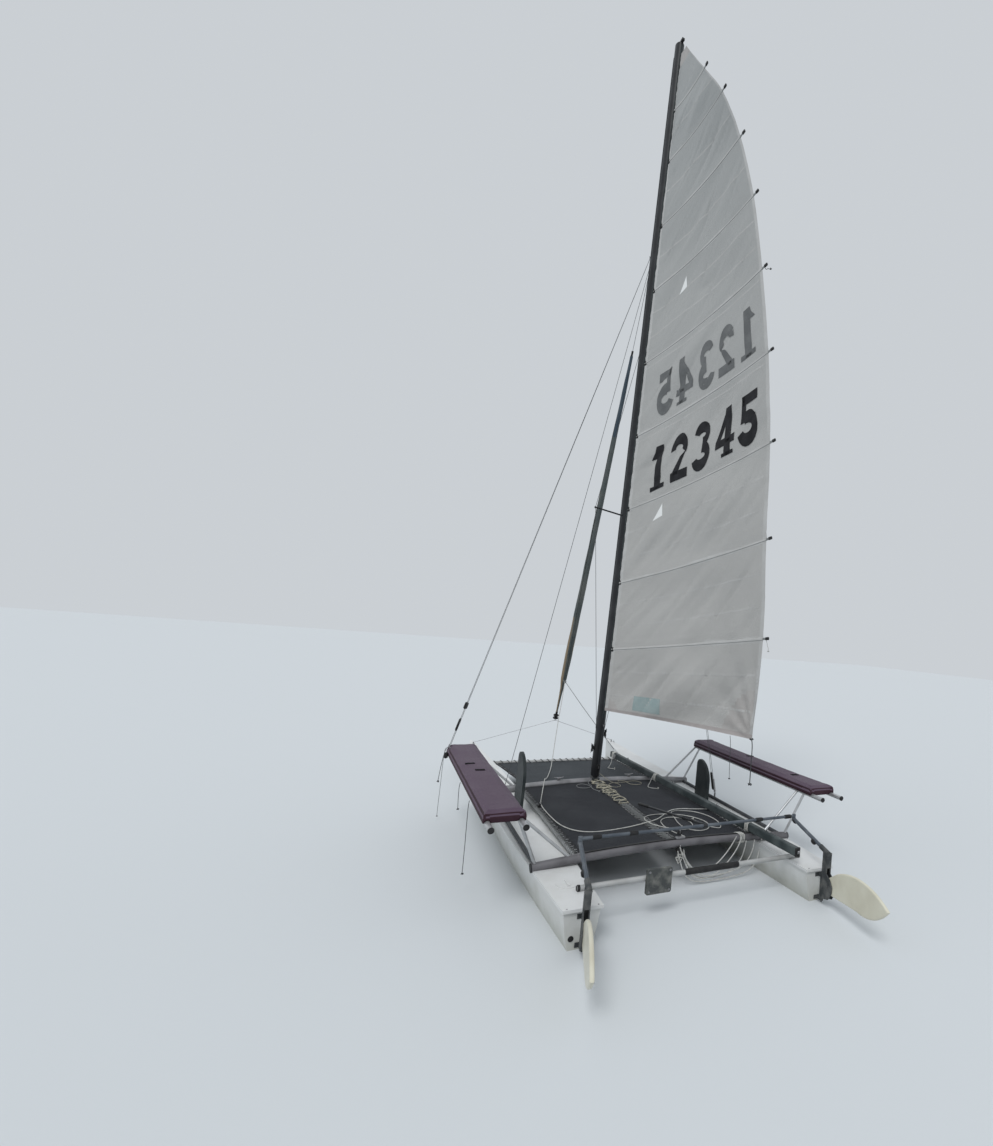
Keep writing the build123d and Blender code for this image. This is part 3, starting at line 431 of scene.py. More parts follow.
def build_braid():
    """Plaited yarns for a rope whose UV map runs round it and along it in metres."""
    tree, inside, outside = shader_group(
        "braid",
        [("Along", "NodeSocketVector", None), ("Pitch", "NodeSocketFloat", 0.012),
         ("Flecks", "NodeSocketFloat", 0.3)],
        [("Height", "NodeSocketFloat"), ("Fleck", "NodeSocketFloat")],
    )
    split = add_node(tree, "ShaderNodeSeparateXYZ", Vector=inside.outputs["Along"])
    run = maths(tree, "DIVIDE", split.outputs[1], inside.outputs["Pitch"])
    turn = maths(tree, "MULTIPLY", split.outputs[0], 4.0)
    waves = []
    for way in ("ADD", "SUBTRACT"):
        phase = maths(tree, "MULTIPLY", maths(tree, way, turn, run), 2 * math.pi)
        waves.append(maths(tree, "SINE", phase))
    tree.links.new(maths(tree, "MAXIMUM", *waves), outside.inputs["Height"])
    fleck = maths(tree, "MULTIPLY", ranged(tree, maths(tree, "MULTIPLY", waves[0], waves[1]), 0.25, 0.6),
                  inside.outputs["Flecks"])
    tree.links.new(fleck, outside.inputs["Fleck"])
    return tree


BRAID = build_braid()


def rope_finish(name, colour, fleck_colour, flecks=0.4, pitch=0.012):
    """A plaited rope: the plain finish with the plait's yarns and tracer flecks over it."""
    material = finish(name, colour, tuple(c * 0.55 for c in colour), 30.0, 0.6, 0.2, 0.85, shine=0.2)
    tree, place = opened(material)
    braid = add_node(tree, "ShaderNodeGroup", {"node_tree": BRAID}, Along=place["UV"], Pitch=pitch,
                     Flecks=flecks)
    tint(tree, braid.outputs["Fleck"], fleck_colour)
    bump = next(n for n in tree.nodes if n.type == "BUMP")
    tree.links.new(braid.outputs["Height"], bump.inputs["Height"])
    bump.inputs["Distance"].default_value = 0.0012
    return material


rope_white = rope_finish("rope_white", (0.56, 0.56, 0.53), (0.10, 0.12, 0.16))
rope_grey = rope_finish("rope_grey", (0.30, 0.31, 0.31), (0.05, 0.05, 0.06), 0.5)
rope_cream = rope_finish("rope_cream", (0.38, 0.36, 0.29), (0.03, 0.03, 0.03), 0.7, 0.018)
rope_dark = rope_finish("rope_dark", (0.045, 0.05, 0.055), (0.30, 0.30, 0.28), 0.4)


def build_sail_cloth(name, low, high):
    """Laminate sailcloth with a fine grid and long soft stains, paler towards the foot; the darker head is
    painted shade.
    """
    material = finish(name, low, [c * 0.86 for c in low], 1.2, 0.5, 0.15, 0.5, bump=0.0012, sheen=0.1,
                      weave=700.0)
    tree, place = opened(material)
    height = add_node(tree, "ShaderNodeSeparateXYZ", Vector=place["Object"]).outputs[2]
    # Darker towards the head: painted shade.
    tint(tree, maths(tree, "MULTIPLY", ranged(tree, height, 3.0, 8.2), 0.8), high)
    return material


sail_cloth = build_sail_cloth("sail_cloth", (0.455, 0.45, 0.435), (0.30, 0.315, 0.315))
jib_cloth = finish("jib_cloth", (0.085, 0.10, 0.10), (0.17, 0.17, 0.155), 3.0, 0.9, 0.4, 0.7, weave=500.0,
                   shine=0.3)
jib_dark = finish("jib_dark", (0.050, 0.072, 0.095), (0.10, 0.125, 0.145), 3.0, 0.8, 0.4, 0.7, weave=500.0,
                  shine=0.3)
wire_dark = finish("wire_dark", (0.07, 0.075, 0.08), (0.16, 0.16, 0.16), 30.0, 0.5, 0.3, 0.5, metallic=0.3)
jib_strip = finish("jib_strip", (0.27, 0.21, 0.14), (0.16, 0.135, 0.10), 3.0, 0.7, 0.4, 0.75, weave=500.0,
                   shine=0.3)

CAD_FINISH = (
    (gelcoat, "hull_port hull_starboard"),
    (deck_coat, "deck_port deck_starboard inspection_ports"),
    (rear_alloy_dull_and_shaded, "rear_beam"),
    (beam_alloy, "front_beam"),
    (stern_alloy, "bow_tube stern_tube"),
    (rail_alloy, "trampoline_rails"),
    (dark_tube, "deck_tube_port deck_tube_starboard"),
    (plate_grey, "motor_bracket"),
    (strut_alloy, "wing_frame_port wing_frame_starboard wing_struts_port wing_struts_starboard"),
    (mast_black, "mast spreaders tiller_extension"),
    (black_plastic, "end_caps masthead jib_furler board_collars"),
    (cast_alloy, "mast_step gudgeons rudder_head_port rudder_head_starboard"),
    (steel, "hound_tang stay_shackles bridle_port bridle_starboard chainplates"),
    (wire_dark, "diamond_wires forestay shroud_port shroud_starboard"),
    (boom_grey, "boom"),
    (board_paint, "daggerboard_port daggerboard_starboard"),
    (blade_cream, "rudder_blade_port rudder_blade_starboard"),
    (tiller_alloy, "tiller_arm_port tiller_arm_starboard tiller_crossbar"),
    (mesh_cloth, "trampoline_main"),
    (fore_cloth, "trampoline_bow"),
    (sail_cloth, "mainsail"),
    (batten_shade, "battens"),
    (jib_cloth, "jib_furled"),
    (seat_cloth, "wing_seat_port wing_seat_starboard"),
)
for material, node_names in CAD_FINISH:
    for node_name in node_names.split():
        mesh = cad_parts[node_name].data
        mesh.materials.clear()
        mesh.materials.append(material)

# Ropes: a route's smooth line, a skin that carries its plait, and a knot


def route_line(points):
    """The points of the smooth line that Blender draws for a cord's route."""
    data = bpy.data.curves.new("route", "CURVE")
    data.dimensions = "3D"
    data.resolution_u = 8
    spline = data.splines.new("NURBS")
    spline.points.add(len(points) - 1)
    for spot, p in zip(spline.points, points):
        spot.co = (*p, 1)
    spline.order_u = 3
    spline.use_endpoint_u = True
    obj = linked("route", data)
    bpy.context.view_layer.update()
    mesh = as_mesh(obj)
    line = [v.co.copy() for v in mesh.vertices]
    bpy.data.objects.remove(obj)
    bpy.data.curves.remove(data)
    bpy.data.meshes.remove(mesh)
    return line


def rope_skin(name, body, line, diameter, material, sides=8, looped=False):
    """A round skin along a line, its UV map running round it and along it in metres."""
    shape = Shape()
    shape.tube(line, diameter / 2, sides, looped=looped)
    mesh = bpy.data.meshes.new(name)
    mesh.from_pydata(shape.points, [], shape.faces)
    mesh.materials.append(material)
    along = [0.0]
    for a, b in zip(line, line[1:] + line[:1]):
        along.append(along[-1] + (b - a).length)
    places = mesh.uv_layers.new(name="along").data
    spot = 0
    for face in range(len(shape.faces)):
        i, k = divmod(face, sides)
        if len(shape.faces[face]) == 4 and i < len(along) - 1:
            corners = [(k, i), (k + 1, i), (k + 1, i + 1), (k, i + 1)]
        else:
            corners = [(0, 0)] * len(shape.faces[face])
        for around, ring in corners:
            places[spot].uv = (around / sides, along[ring])
            spot += 1
    mesh.shade_smooth()
    obj = linked(name, mesh)
    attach(obj, body)
    return obj


def knot(name, body, place, rope_radius, material):
    """An overhand knot drawn tight: one closed line of three lobes."""
    size = rope_radius * 1.25
    line = []
    for k in range(42):
        t = 2 * math.pi * k / 42
        line.append(place @ (size * Vector((
            math.sin(t) + 2 * math.sin(2 * t), math.cos(t) - 2 * math.cos(2 * t), -math.sin(3 * t)))))
    return rope_skin(name, body, line, rope_radius * 2, material, 7, looped=True)


ARCH_RADIUS, ARCH_TOP = 12.672, 0.502
CLOTH_AFT, CLOTH_LENGTH, HALF_MIDDLE = 0.763, 2.137, 0.42
ROPE_LIFT = 0.0045


def arch_z(y):
    """Height of the beams' arched middle line."""
    return ARCH_TOP - (ARCH_RADIUS - math.sqrt(ARCH_RADIUS**2 - y * y))


def cloth_z(x, y):
    """Height of the main trampoline's middle surface: arched like the beams, and slack in each half."""
    along = math.sin(math.pi * (x - CLOTH_AFT) / CLOTH_LENGTH)
    return arch_z(y) - 0.008 * along * (1 - ((abs(y) - HALF_MIDDLE) / HALF_MIDDLE) ** 2)


def on_cloth(points):
    """Places on the main trampoline; the third number is the height over its face."""
    return [(x, y, cloth_z(x, y) + ROPE_LIFT + up) for x, y, up in points]


def free_rope(name, points, diameter, material, body="root",
              ends=(), sides=8):
    """A free rope along its route, with a knot at each named end."""
    line = route_line([at(*p) for p in points])
    obj = rope_skin(name, body, line, diameter, material, sides)
    for end in ends:
        spot, back = (line[0], line[1]) if end == "start" else (line[-1], line[-2])
        place = frame_at(spot + (spot - back).normalized() * diameter * 0.9, spot - back, (0.3, 0.2, 1))
        knot(f"{name}_{end}_knot", body, place, diameter * 0.5, material)


# Sheets, falls and tails, from the photograph

free_rope("jib_sheet_port", [
    (4.60, 0, 1.50), (4.585, 0.008, 1.44), (4.52, 0.037, 1.245), (4.36, 0.109, 0.881), (4.19, 0.168, 0.60),
    (4.05, 0.215, 0.47), (3.92, 0.255, 0.443), (3.73, 0.313, 0.456), (3.30, 0.450, 0.483),
    (3.06, 0.535, 0.515), (2.980, 0.562, 0.552), (2.895, 0.590, 0.550), (2.80, 0.620, 0.503),
    (2.50, 0.705, 0.496), (2.25, 0.775, 0.500), (2.13, 0.800, 0.503), (2.02, 0.795, 0.489),
    (1.75, 0.790, 0.488), (1.50, 0.770, 0.488), (1.33, 0.690, 0.487), (1.245, 0.560, 0.488),
    (1.240, 0.380, 0.492), (1.255, 0.200, 0.500), (1.265, 0.085, 0.513), (1.272, -0.035, 0.531),
    (1.33, -0.120, 0.530), (1.45, -0.230, 0.529), (1.55, -0.340, 0.528), (1.595, -0.480, 0.517),
    (1.60, -0.620, 0.500), (1.60, -0.790, 0.487)], 0.009, rope_white)
free_rope("mainsheet", [(0.775, -0.13, 0.520)] + on_cloth([
    (0.80, -0.14, 0.008), (0.86, -0.145, 0.004), (0.98, -0.10, 0.004), (1.15, -0.085, 0.004),
    (1.33, -0.12, 0.004), (1.42, -0.24, 0.004), (1.38, -0.36, 0.004), (1.22, -0.41, 0.004),
    (1.06, -0.35, 0.004), (1.00, -0.23, 0.004), (1.05, -0.12, 0.014), (1.10, -0.05, 0.014),
    (1.22, 0.035, 0.022), (1.38, 0.03, 0.020), (1.50, -0.07, 0.006), (1.53, -0.22, 0.004),
    (1.49, -0.39, 0.004), (1.36, -0.52, 0.004), (1.18, -0.57, 0.004), (1.01, -0.50, 0.004),
    (0.94, -0.38, 0.004), (0.97, -0.28, 0.012), (1.05, -0.24, 0.014), (1.22, -0.26, 0.006),
    (1.35, -0.29, 0.014), (1.47, -0.31, 0.014), (1.56, -0.35, 0.014), (1.61, -0.46, 0.004),
    (1.56, -0.60, 0.004), (1.42, -0.68, 0.004), (1.24, -0.70, 0.004), (1.08, -0.66, 0.004),
    (0.98, -0.60, 0.004), (0.99, -0.53, 0.014), (1.06, -0.47, 0.014), (1.18, -0.48, 0.004),
    (1.29, -0.465, 0.004)]), 0.008, rope_white, ends=("far",))
free_rope("downhaul_fall", [(2.895, -0.032, 0.60)] + on_cloth([
    (2.83, -0.11, 0.03), (2.79, -0.17, 0.004), (2.70, -0.23, 0.003), (2.60, -0.20, 0.003),
    (2.58, -0.11, 0.003), (2.66, -0.07, 0.011), (2.74, -0.12, 0.011), (2.76, -0.20, 0.012),
    (2.78, -0.31, 0.003), (2.84, -0.40, 0.003), (2.83, -0.49, 0.003), (2.74, -0.52, 0.003),
    (2.66, -0.46, 0.003), (2.68, -0.36, 0.003), (2.74, -0.33, 0.010), (2.84, -0.33, 0.010),
    (2.86, -0.27, 0.003)]), 0.006, rope_cream, ends=("far",))
free_rope("furling_line", [(2.905, 0.044, 0.545)] + on_cloth([
    (2.85, 0.10, 0.02), (2.80, 0.12, 0.003), (2.70, 0.10, 0.003), (2.62, 0.17, 0.003), (2.66, 0.27, 0.003),
    (2.77, 0.27, 0.003), (2.80, 0.20, 0.010), (2.74, 0.15, 0.010), (2.66, 0.13, 0.010), (2.56, 0.14, 0.003),
    (2.47, 0.10, 0.003)]), 0.005, rope_grey, ends=("far",))
free_rope("hanging_loop_inner", [
    (0.688, -0.66, 0.515), (0.672, -0.63, 0.44), (0.657, -0.54, 0.335), (0.645, -0.43, 0.245),
    (0.640, -0.33, 0.205), (0.640, -0.24, 0.197), (0.645, -0.15, 0.235), (0.655, -0.09, 0.32),
    (0.668, -0.05, 0.42), (0.684, -0.03, 0.478)],
    0.010, rope_white)
free_rope("hanging_loop_outer", [
    (0.689, -0.88, 0.462), (0.672, -0.86, 0.38), (0.652, -0.81, 0.255), (0.638, -0.72, 0.202),
    (0.630, -0.60, 0.187), (0.626, -0.48, 0.182), (0.624, -0.365, 0.180), (0.626, -0.24, 0.182),
    (0.634, -0.14, 0.198), (0.648, -0.07, 0.26), (0.662, -0.035, 0.36), (0.680, -0.01, 0.45)], 0.010,
    rope_white)
free_rope("hanging_loop_middle", [
    (0.689, -0.71, 0.462), (0.684, -0.70, 0.40), (0.674, -0.66, 0.30), (0.664, -0.57, 0.228),
    (0.660, -0.46, 0.198), (0.658, -0.365, 0.190), (0.660, -0.25, 0.200), (0.666, -0.16, 0.24),
    (0.674, -0.11, 0.31), (0.684, -0.08, 0.40), (0.690, -0.07, 0.455)], 0.009, rope_white)
free_rope("hanging_loop_upper", [
    (0.688, -0.60, 0.510), (0.670, -0.55, 0.45), (0.655, -0.47, 0.37), (0.645, -0.38, 0.30),
    (0.645, -0.28, 0.262), (0.650, -0.18, 0.275), (0.660, -0.10, 0.35), (0.676, -0.05, 0.44)], 0.010,
    rope_white)
free_rope("hanging_loop_side", [
    (0.689, -0.80, 0.462), (0.675, -0.79, 0.40), (0.660, -0.74, 0.31), (0.645, -0.66, 0.255),
    (0.640, -0.56, 0.225), (0.640, -0.45, 0.215), (0.640, -0.34, 0.215), (0.642, -0.24, 0.228),
    (0.650, -0.16, 0.27), (0.662, -0.10, 0.34), (0.678, -0.07, 0.43)], 0.009, rope_white)
free_rope("trapeze_tail_long", [
    (3.035, 1.608, 0.90), (3.045, 1.613, 0.86), (3.05, 1.615, 0.72), (3.048, 1.613, 0.50),
    (3.05, 1.615, 0.34), (3.052, 1.613, 0.20)], 0.004, rope_dark, ends=("far",),
    sides=6)
free_rope("trapeze_tail_short", [
    (3.045, 1.59, 0.91), (3.08, 1.603, 0.88), (3.16, 1.612, 0.74), (3.24, 1.615, 0.60), (3.30, 1.614, 0.50)],
    0.006, rope_dark, ends=("far",), sides=6)
free_rope("righting_line_fore", [
    (1.716, 1.610, 0.868), (1.71, 1.616, 0.84), (1.69, 1.618, 0.78), (1.67, 1.616, 0.70),
    (1.665, 1.614, 0.66)],
    0.005, rope_dark, ends=("far",), sides=6)
free_rope("righting_line_aft", [
    (1.138, 1.610, 0.868), (1.13, 1.616, 0.84), (1.10, 1.618, 0.74), (1.08, 1.617, 0.60),
    (1.075, 1.615, 0.46), (1.07, 1.614, 0.34)], 0.005, rope_dark, ends=("far",),
    sides=6)


# Geometry Nodes: one small shape set along a path


def build_stamp():
    """Sets a small shape along a path at an even pitch, turned to the path and to its up direction."""
    tree = bpy.data.node_groups.new("stamp", "GeometryNodeTree")
    for label, kind in (("Path", "Geometry"), ("Unit", "Object"), ("Pitch", "Float"), ("Uneven", "Float"),
                        ("Seed", "Int"), ("Finish", "Material")):
        tree.interface.new_socket(name=label, in_out="INPUT", socket_type=f"NodeSocket{kind}")
    tree.interface.new_socket(name="Pieces", in_out="OUTPUT", socket_type="NodeSocketGeometry")
    source = tree.nodes.new("NodeGroupInput").outputs
    curve = add_node(tree, "GeometryNodeMeshToCurve", Mesh=source["Path"])
    even = add_node(tree, "GeometryNodeResampleCurve", {"mode": "LENGTH"}, Curve=curve.outputs[0],
                    Length=source["Pitch"])
    tangent = add_node(tree, "GeometryNodeInputTangent")
    up = add_node(tree, "GeometryNodeInputNamedAttribute", {"data_type": "FLOAT_VECTOR"}, Name="up")
    turn = add_node(tree, "FunctionNodeAlignRotationToVector", {"axis": "X"}, Vector=tangent.outputs[0])
    turn = add_node(tree, "FunctionNodeAlignRotationToVector", {"axis": "Z", "pivot_axis": "X"},
                    Rotation=turn.outputs[0], Vector=up.outputs[0])
    unit = add_node(tree, "GeometryNodeObjectInfo", Object=source["Unit"])
    chance = tree.nodes.new("FunctionNodeRandomValue")
    sockets = {s.identifier: s for s in chance.inputs}
    tree.links.new(maths(tree, "SUBTRACT", 1.0, source["Uneven"]), sockets["Min_001"])
    tree.links.new(maths(tree, "ADD", 1.0, source["Uneven"]), sockets["Max_001"])
    tree.links.new(source["Seed"], sockets["Seed"])
    put = add_node(tree, "GeometryNodeInstanceOnPoints", Points=even.outputs[0], Scale=chance.outputs[1],
                   Instance=unit.outputs["Geometry"], Rotation=turn.outputs[0])
    real = add_node(tree, "GeometryNodeRealizeInstances", Geometry=put.outputs[0])
    painted = add_node(tree, "GeometryNodeSetMaterial", Geometry=real.outputs[0], Material=source["Finish"])
    tree.links.new(painted.outputs[0], tree.nodes.new("NodeGroupOutput").inputs[0])
    return tree


STAMP = build_stamp()


def stamped(name, body, paths, unit, pitch, material, uneven=0.0, seed=5):
    """Repeats of a small shape along paths; a path is a list of (place, up direction)."""
    points, edges, ups = [], [], []
    for path in paths:
        edges += [(len(points) + i, len(points) + i + 1) for i in range(len(path) - 1)]
        points += [p for p, _ in path]
        ups += [tuple(u) for _, u in path]
    mesh = bpy.data.meshes.new("path")
    mesh.from_pydata(points, edges, [])
    for spot, up in zip(mesh.attributes.new("up", "FLOAT_VECTOR", "POINT").data, ups):
        spot.vector = up
    guide = linked("path", mesh)
    unit_mesh = bpy.data.meshes.new("unit")
    unit_mesh.from_pydata(unit.points, [], unit.faces)
    tidy = bmesh.new()
    tidy.from_mesh(unit_mesh)
    bmesh.ops.recalc_face_normals(tidy, faces=tidy.faces)
    tidy.to_mesh(unit_mesh)
    tidy.free()
    unit_mesh.shade_smooth()
    unit_mesh.set_sharp_from_angle(angle=math.radians(40))
    sample = linked("unit", unit_mesh)
    modifier = guide.modifiers.new("stamp", "NODES")
    modifier.node_group = STAMP
    values = {"Unit": sample, "Pitch": pitch, "Uneven": uneven, "Seed": seed, "Finish": material}
    for item in STAMP.interface.items_tree:
        if item.in_out == "INPUT" and item.name in values:
            modifier[item.identifier] = values[item.name]
    bpy.context.view_layer.update()
    made = as_mesh(guide)
    for obj in (guide, sample):
        bpy.data.objects.remove(obj)
    made.name = name
    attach(linked(name, made), body)


def eyelet(radius=0.011):
    """A small ring pressed in cloth, both faces."""
    unit = Shape()
    ring = [(radius, -0.0018), (radius * 0.8, -0.0034), (radius * 0.52, -0.002),
            (radius * 0.52, 0.002), (radius * 0.8, 0.0034), (radius, 0.0018)]
    turns = [2 * math.pi * k / 14 for k in range(14)]
    unit.rings([[Vector((r * math.cos(a), r * math.sin(a), h)) for r, h in ring] for a in turns], looped=True)
    return unit


def rope_turn(line, steps, radius, sides):
    """A closed turn of rope through the given points, to be set along a path."""
    unit = Shape()
    unit.tube(smooth_path(line, steps, True), radius, sides, looped=True)
    return unit


def wrap(reach, bar, radius, lean):
    """One turn of lacing: round a bar at the middle and out sideways to an eyelet."""
    return rope_turn([
        (lean, -bar, 0), (lean * 0.5, -bar * 0.7, bar * 0.8), (0, 0, bar * 1.05),
        (-lean * 0.4, reach * 0.55, bar * 0.55), (-lean, reach, 0.004), (-lean * 0.9, reach, -0.006),
        (-lean * 0.2, reach * 0.5, -bar * 0.7), (lean * 0.4, 0, -bar * 1.05),
        (lean * 0.8, -bar * 0.75, -bar * 0.7),
    ], 2, radius, 6)


# Trampolines


def cloth(name, body, place, columns, rows, materials, slot_of, replaces=(), half=0.0012, edge_slot=1,
          smooth=60):
    """A sheet with two faces and its edges; place(u, v, out) is a point so far out from its middle."""
    n, m = columns + 1, rows + 1
    shape = Shape()
    shape.points = [place(i / columns, j / rows, side * half)
                    for side in (1, -1) for j in range(m) for i in range(n)]
    for side in (0, 1):
        for j in range(rows):
            for i in range(columns):
                a = side * m * n + j * n + i
                quad = [a, a + 1, a + 1 + n, a + n]
                shape.faces.append(quad if side else quad[::-1])
                shape.slots.append(slot_of((i + 0.5) / columns, (j + 0.5) / rows))
    lines = ([j * n for j in range(m)], [j * n + columns for j in range(m)][::-1],
             list(range(n))[::-1], [rows * n + i for i in range(n)])
    for line in lines:
        for a, b in zip(line, line[1:]):
            shape.faces.append([a, b, b + m * n, a + m * n])
            shape.slots.append(edge_slot)
    return shape.piece(name, body, materials, replaces, smooth=smooth)


LACE_PITCH = 0.085
MAIN_CLOTH_X, FORE_CLOTH_X = (0.800, 2.894), (2.984, 4.530)
# Where the hems end, as shares across and along the cloth
MAIN_HEM, FORE_HEM = (0.055, 0.945, 0.02, 0.98), (0.03, 0.97, 0.025, 0.97)
# Heights of the puckers at the eyelets, of the slack and of its ripples, and how fast the puckers fade
PUCKER, SLACK, RIPPLE, FADE = 0.0022, 0.004, 0.0018, 0.05


def in_hem(u, v, hem):
    return u < hem[0] or u > hem[1] or v < hem[2] or v > hem[3]


def span(ends, share):
    return ends[0] + share * (ends[1] - ends[0])


def main_cloth_point(side, u, v, out):
    x = span(MAIN_CLOTH_X, v)
    pull = 0.005 * abs(math.sin(math.pi * x / LACE_PITCH))
    inner, outer = 0.030 + pull, 0.822 - pull
    y = inner + u * (outer - inner)
    edge = math.exp(-(y - inner) / FADE) + math.exp(-(outer - y) / FADE)
    pucker = PUCKER * edge * math.cos(2 * math.pi * x / LACE_PITCH)
    slack = SLACK * noise.noise(Vector((x * 2.2, y * 5.0, side * 4.0)))
    slack += RIPPLE * noise.noise(Vector((x * 9, y * 14, side)))
    held = min(1, (outer - y) * 12 + 0.3)
    y *= side
    return at(x, y, cloth_z(x, y) + pucker + slack * held + out * (2.0 if in_hem(u, v, MAIN_HEM) else 1.0))


def fore_cloth_point(u, v, out=0.0):
    x = span(FORE_CLOTH_X, v)
    half = 0.765 + 0.055 * v
    y = half * (2 * u - 1)
    z = (1 - v) * arch_z(y) + v * 0.388 - 0.010 * math.sin(math.pi * v) * (1 - (2 * u - 1) ** 2)
    edge = math.exp(-(half - abs(y)) / FADE)
    pucker = PUCKER * edge * math.cos(2 * math.pi * x / LACE_PITCH)
    pucker += PUCKER * math.exp(-(1 - v) / 0.035) * math.cos(2 * math.pi * y / LACE_PITCH)
    slack = SLACK * noise.noise(Vector((x * 2.0, y * 4.0, 9.0)))
    slack += RIPPLE * noise.noise(Vector((x * 9, y * 9, 2.0)))
    return at(x, y, z + pucker + slack + out * (2.0 if in_hem(u, v, FORE_HEM) else 1.0))


for side, word in SIDES:
    half_cloth = cloth(
        f"trampoline_{word}_half", "root", lambda u, v, out: main_cloth_point(side, u, v, out), 56, 150,
        [mesh_cloth, hem_cloth], lambda u, v: 1 if in_hem(u, v, MAIN_HEM) else 0, ["trampoline_main"])
bow_cloth = cloth(
    "trampoline_fore", "root", fore_cloth_point, 96, 96, [fore_cloth, hem_cloth],
    lambda u, v: 1 if in_hem(u, v, FORE_HEM) else 0, ["trampoline_bow"])

# Eyelets and lacing

LACE_X = 0.774
RAIL_Y, RAIL_Z = 0.852, 0.473


def stations(first, last, place, steps=24):
    """A path in even steps from first to last; place turns each of them into a point."""
    return [(place(first + (last - first) * k / steps), UP) for k in range(steps + 1)]


def on_seam(x, up=0.0):
    """A place on the middle seam, or so far over it."""
    return at(x, 0.0, cloth_z(x, 0) + up)


def on_lace_line(y):
    """A place on the line behind the main trampoline where its aft lacing turns."""
    return at(LACE_X, y, cloth_z(LACE_X, y))


def chain_link(reach):
    """One loop of the slack rope chain that lies along the middle seam."""
    line = [(0.030, -0.050, 0.001), (0.004, -0.034, 0.010), (-0.016, 0.004, 0.016), (0.004, 0.040, 0.009),
            (0.038, 0.052, 0.002), (0.066, 0.030, 0.012), (0.056, -0.004, 0.022), (0.064, -0.036, 0.010)]
    return rope_turn([(x, y * reach, z) for x, y, z in line], 3, 0.0042, 7)


# A flat turn of lacing between the eyelets of the two halves
CROSS_LACE = rope_turn([
    (-0.002, -0.053, 0.002), (0.012, -0.030, 0.004), (0.030, 0.030, 0.004), (0.044, 0.053, 0.002),
    (0.046, 0.052, -0.004), (0.028, 0.0, -0.005), (0.0, -0.052, -0.004)], 2, 0.0024, 6)

eyelet_paths = [
    stations(0.83, 2.87, lambda x: at(x, side * y, cloth_z(x, y))) for side in (1, -1) for y in (0.052, 0.802)
] + [stations(side * 0.08, side * 0.79, lambda y: at(0.818, y, cloth_z(0.8, y))) for side in (1, -1)] + [
    stations(-0.80, 0.80, lambda y: at(4.508, y, 0.3885))
] + [stations(0, 1, lambda v: fore_cloth_point(0.5 + side * 0.485, v)) for side in (1, -1)]
stamped("eyelets", "root", eyelet_paths, eyelet(), LACE_PITCH, steel)
stamped("bow_tube_lacing", "root", [stations(-0.83, 0.83, lambda y: at(4.580, y, 0.387), 2)],
        wrap(0.068, 0.0245, 0.0042, 0.020), LACE_PITCH, rope_dark, 0.04)
rail_paths = [[(at(x, side * RAIL_Y, RAIL_Z), UP) for x in run]
              for side, run in ((1, (2.86, 0.80)), (-1, (0.80, 2.86)))]
stamped("side_lacing", "root", rail_paths,
        wrap(0.046, 0.0145, 0.0028, 0.016), LACE_PITCH / 2, rope_grey, 0.08)
stamped("rear_lacing", "root", [stations(0.79, -0.79, on_lace_line, 30)],
        wrap(-0.046, 0.009, 0.0028, 0.018), LACE_PITCH / 2, rope_white, 0.1)
lace_rod = Shape()
lace_rod.tube([on_lace_line(0.80 - 0.1 * k) for k in range(17)], 0.006, 10)
lace_rod.piece("rear_lace_rod", "root", [stern_alloy])
for label, reach, first, colour in (
        ("light", 1.0, 1.93, rope_cream), ("dark", 0.75, 1.97, rope_dark), ("wide", 1.35, 2.36, rope_cream)):
    stamped(f"rope_chain_{label}", "root", [stations(first, 2.84, lambda x: on_seam(x, 0.007))],
            chain_link(reach), 0.092, colour, 0.30, seed=len(label))
stamped("centre_lacing", "root", [stations(0.83, 2.84, on_seam)], CROSS_LACE, 0.05, rope_grey, 0.05)

# Furled jib: a sheet rolled on its stay

STAY_FOOT = at(4.900, 0, 0.905)
STAY_UP = (at(2.528, 0.08, 6.70) - STAY_FOOT).normalized()
STAY_FORE = Vector((0, 1, 0)).cross(STAY_UP).normalized()
STAY_PORT = STAY_UP.cross(STAY_FORE)
# The roll's outer radius at shares of its length
ROLL = [(0.013, 0.0), (0.017, 0.045), (0.024, 0.075), (0.044, 0.110), (0.050, 0.18),
        (0.046, 0.32), (0.038, 0.6), (0.026, 0.9), (0.018, 1.0)]
ROLL_TURNS = 6
ROLL_START, ROLL_LENGTH, ROLL_CORE = 0.14, 5.0, 0.005


def roll_radius(v):
    for (r0, v0), (r1, v1) in zip(ROLL, ROLL[1:]):
        if v <= v1:
            t = (v - v0) / (v1 - v0)
            t = t * t * (3 - 2 * t)
            return r0 + (r1 - r0) * t
    return ROLL[-1][0]


def roll_point(u, v, out=0.0):
    turn = 2 * math.pi * (ROLL_TURNS * u + 0.55 - 0.45 * v)
    radius = ROLL_CORE + (roll_radius(v) - ROLL_CORE) * u
    ridge = noise.noise(Vector((math.cos(turn) * 1.6, math.sin(turn) * 1.6, v * 16 + turn * 0.25)))
    fine = noise.noise(Vector((math.cos(turn) * 4, math.sin(turn) * 4, v * 60)))
    radius *= 1 + u * u * (0.10 * ridge + 0.035 * fine)
    outward = STAY_FORE * math.cos(turn) + STAY_PORT * math.sin(turn)
    return STAY_FOOT + STAY_UP * (ROLL_START + ROLL_LENGTH * v) + outward * (radius + out)


def roll_slot(u, v):
    if u < 0.82:
        return 0
    if v > 0.80:
        return 1
    return 2 if v < 0.30 and 0.90 + 0.04 * math.sin(v * 23) < u < 0.985 else 0


jib = cloth("jib_rolled", "root", roll_point, 26 * ROLL_TURNS, 110, [jib_cloth, jib_dark, jib_strip],
            roll_slot, ["jib_furled"], half=0.0006, edge_slot=2)

# Padded wing seats: the frame's solid is swelled like a stuffed cover, then mirrored

SWELL_CAP = 0.011
SEAT_FOOT = 0.895


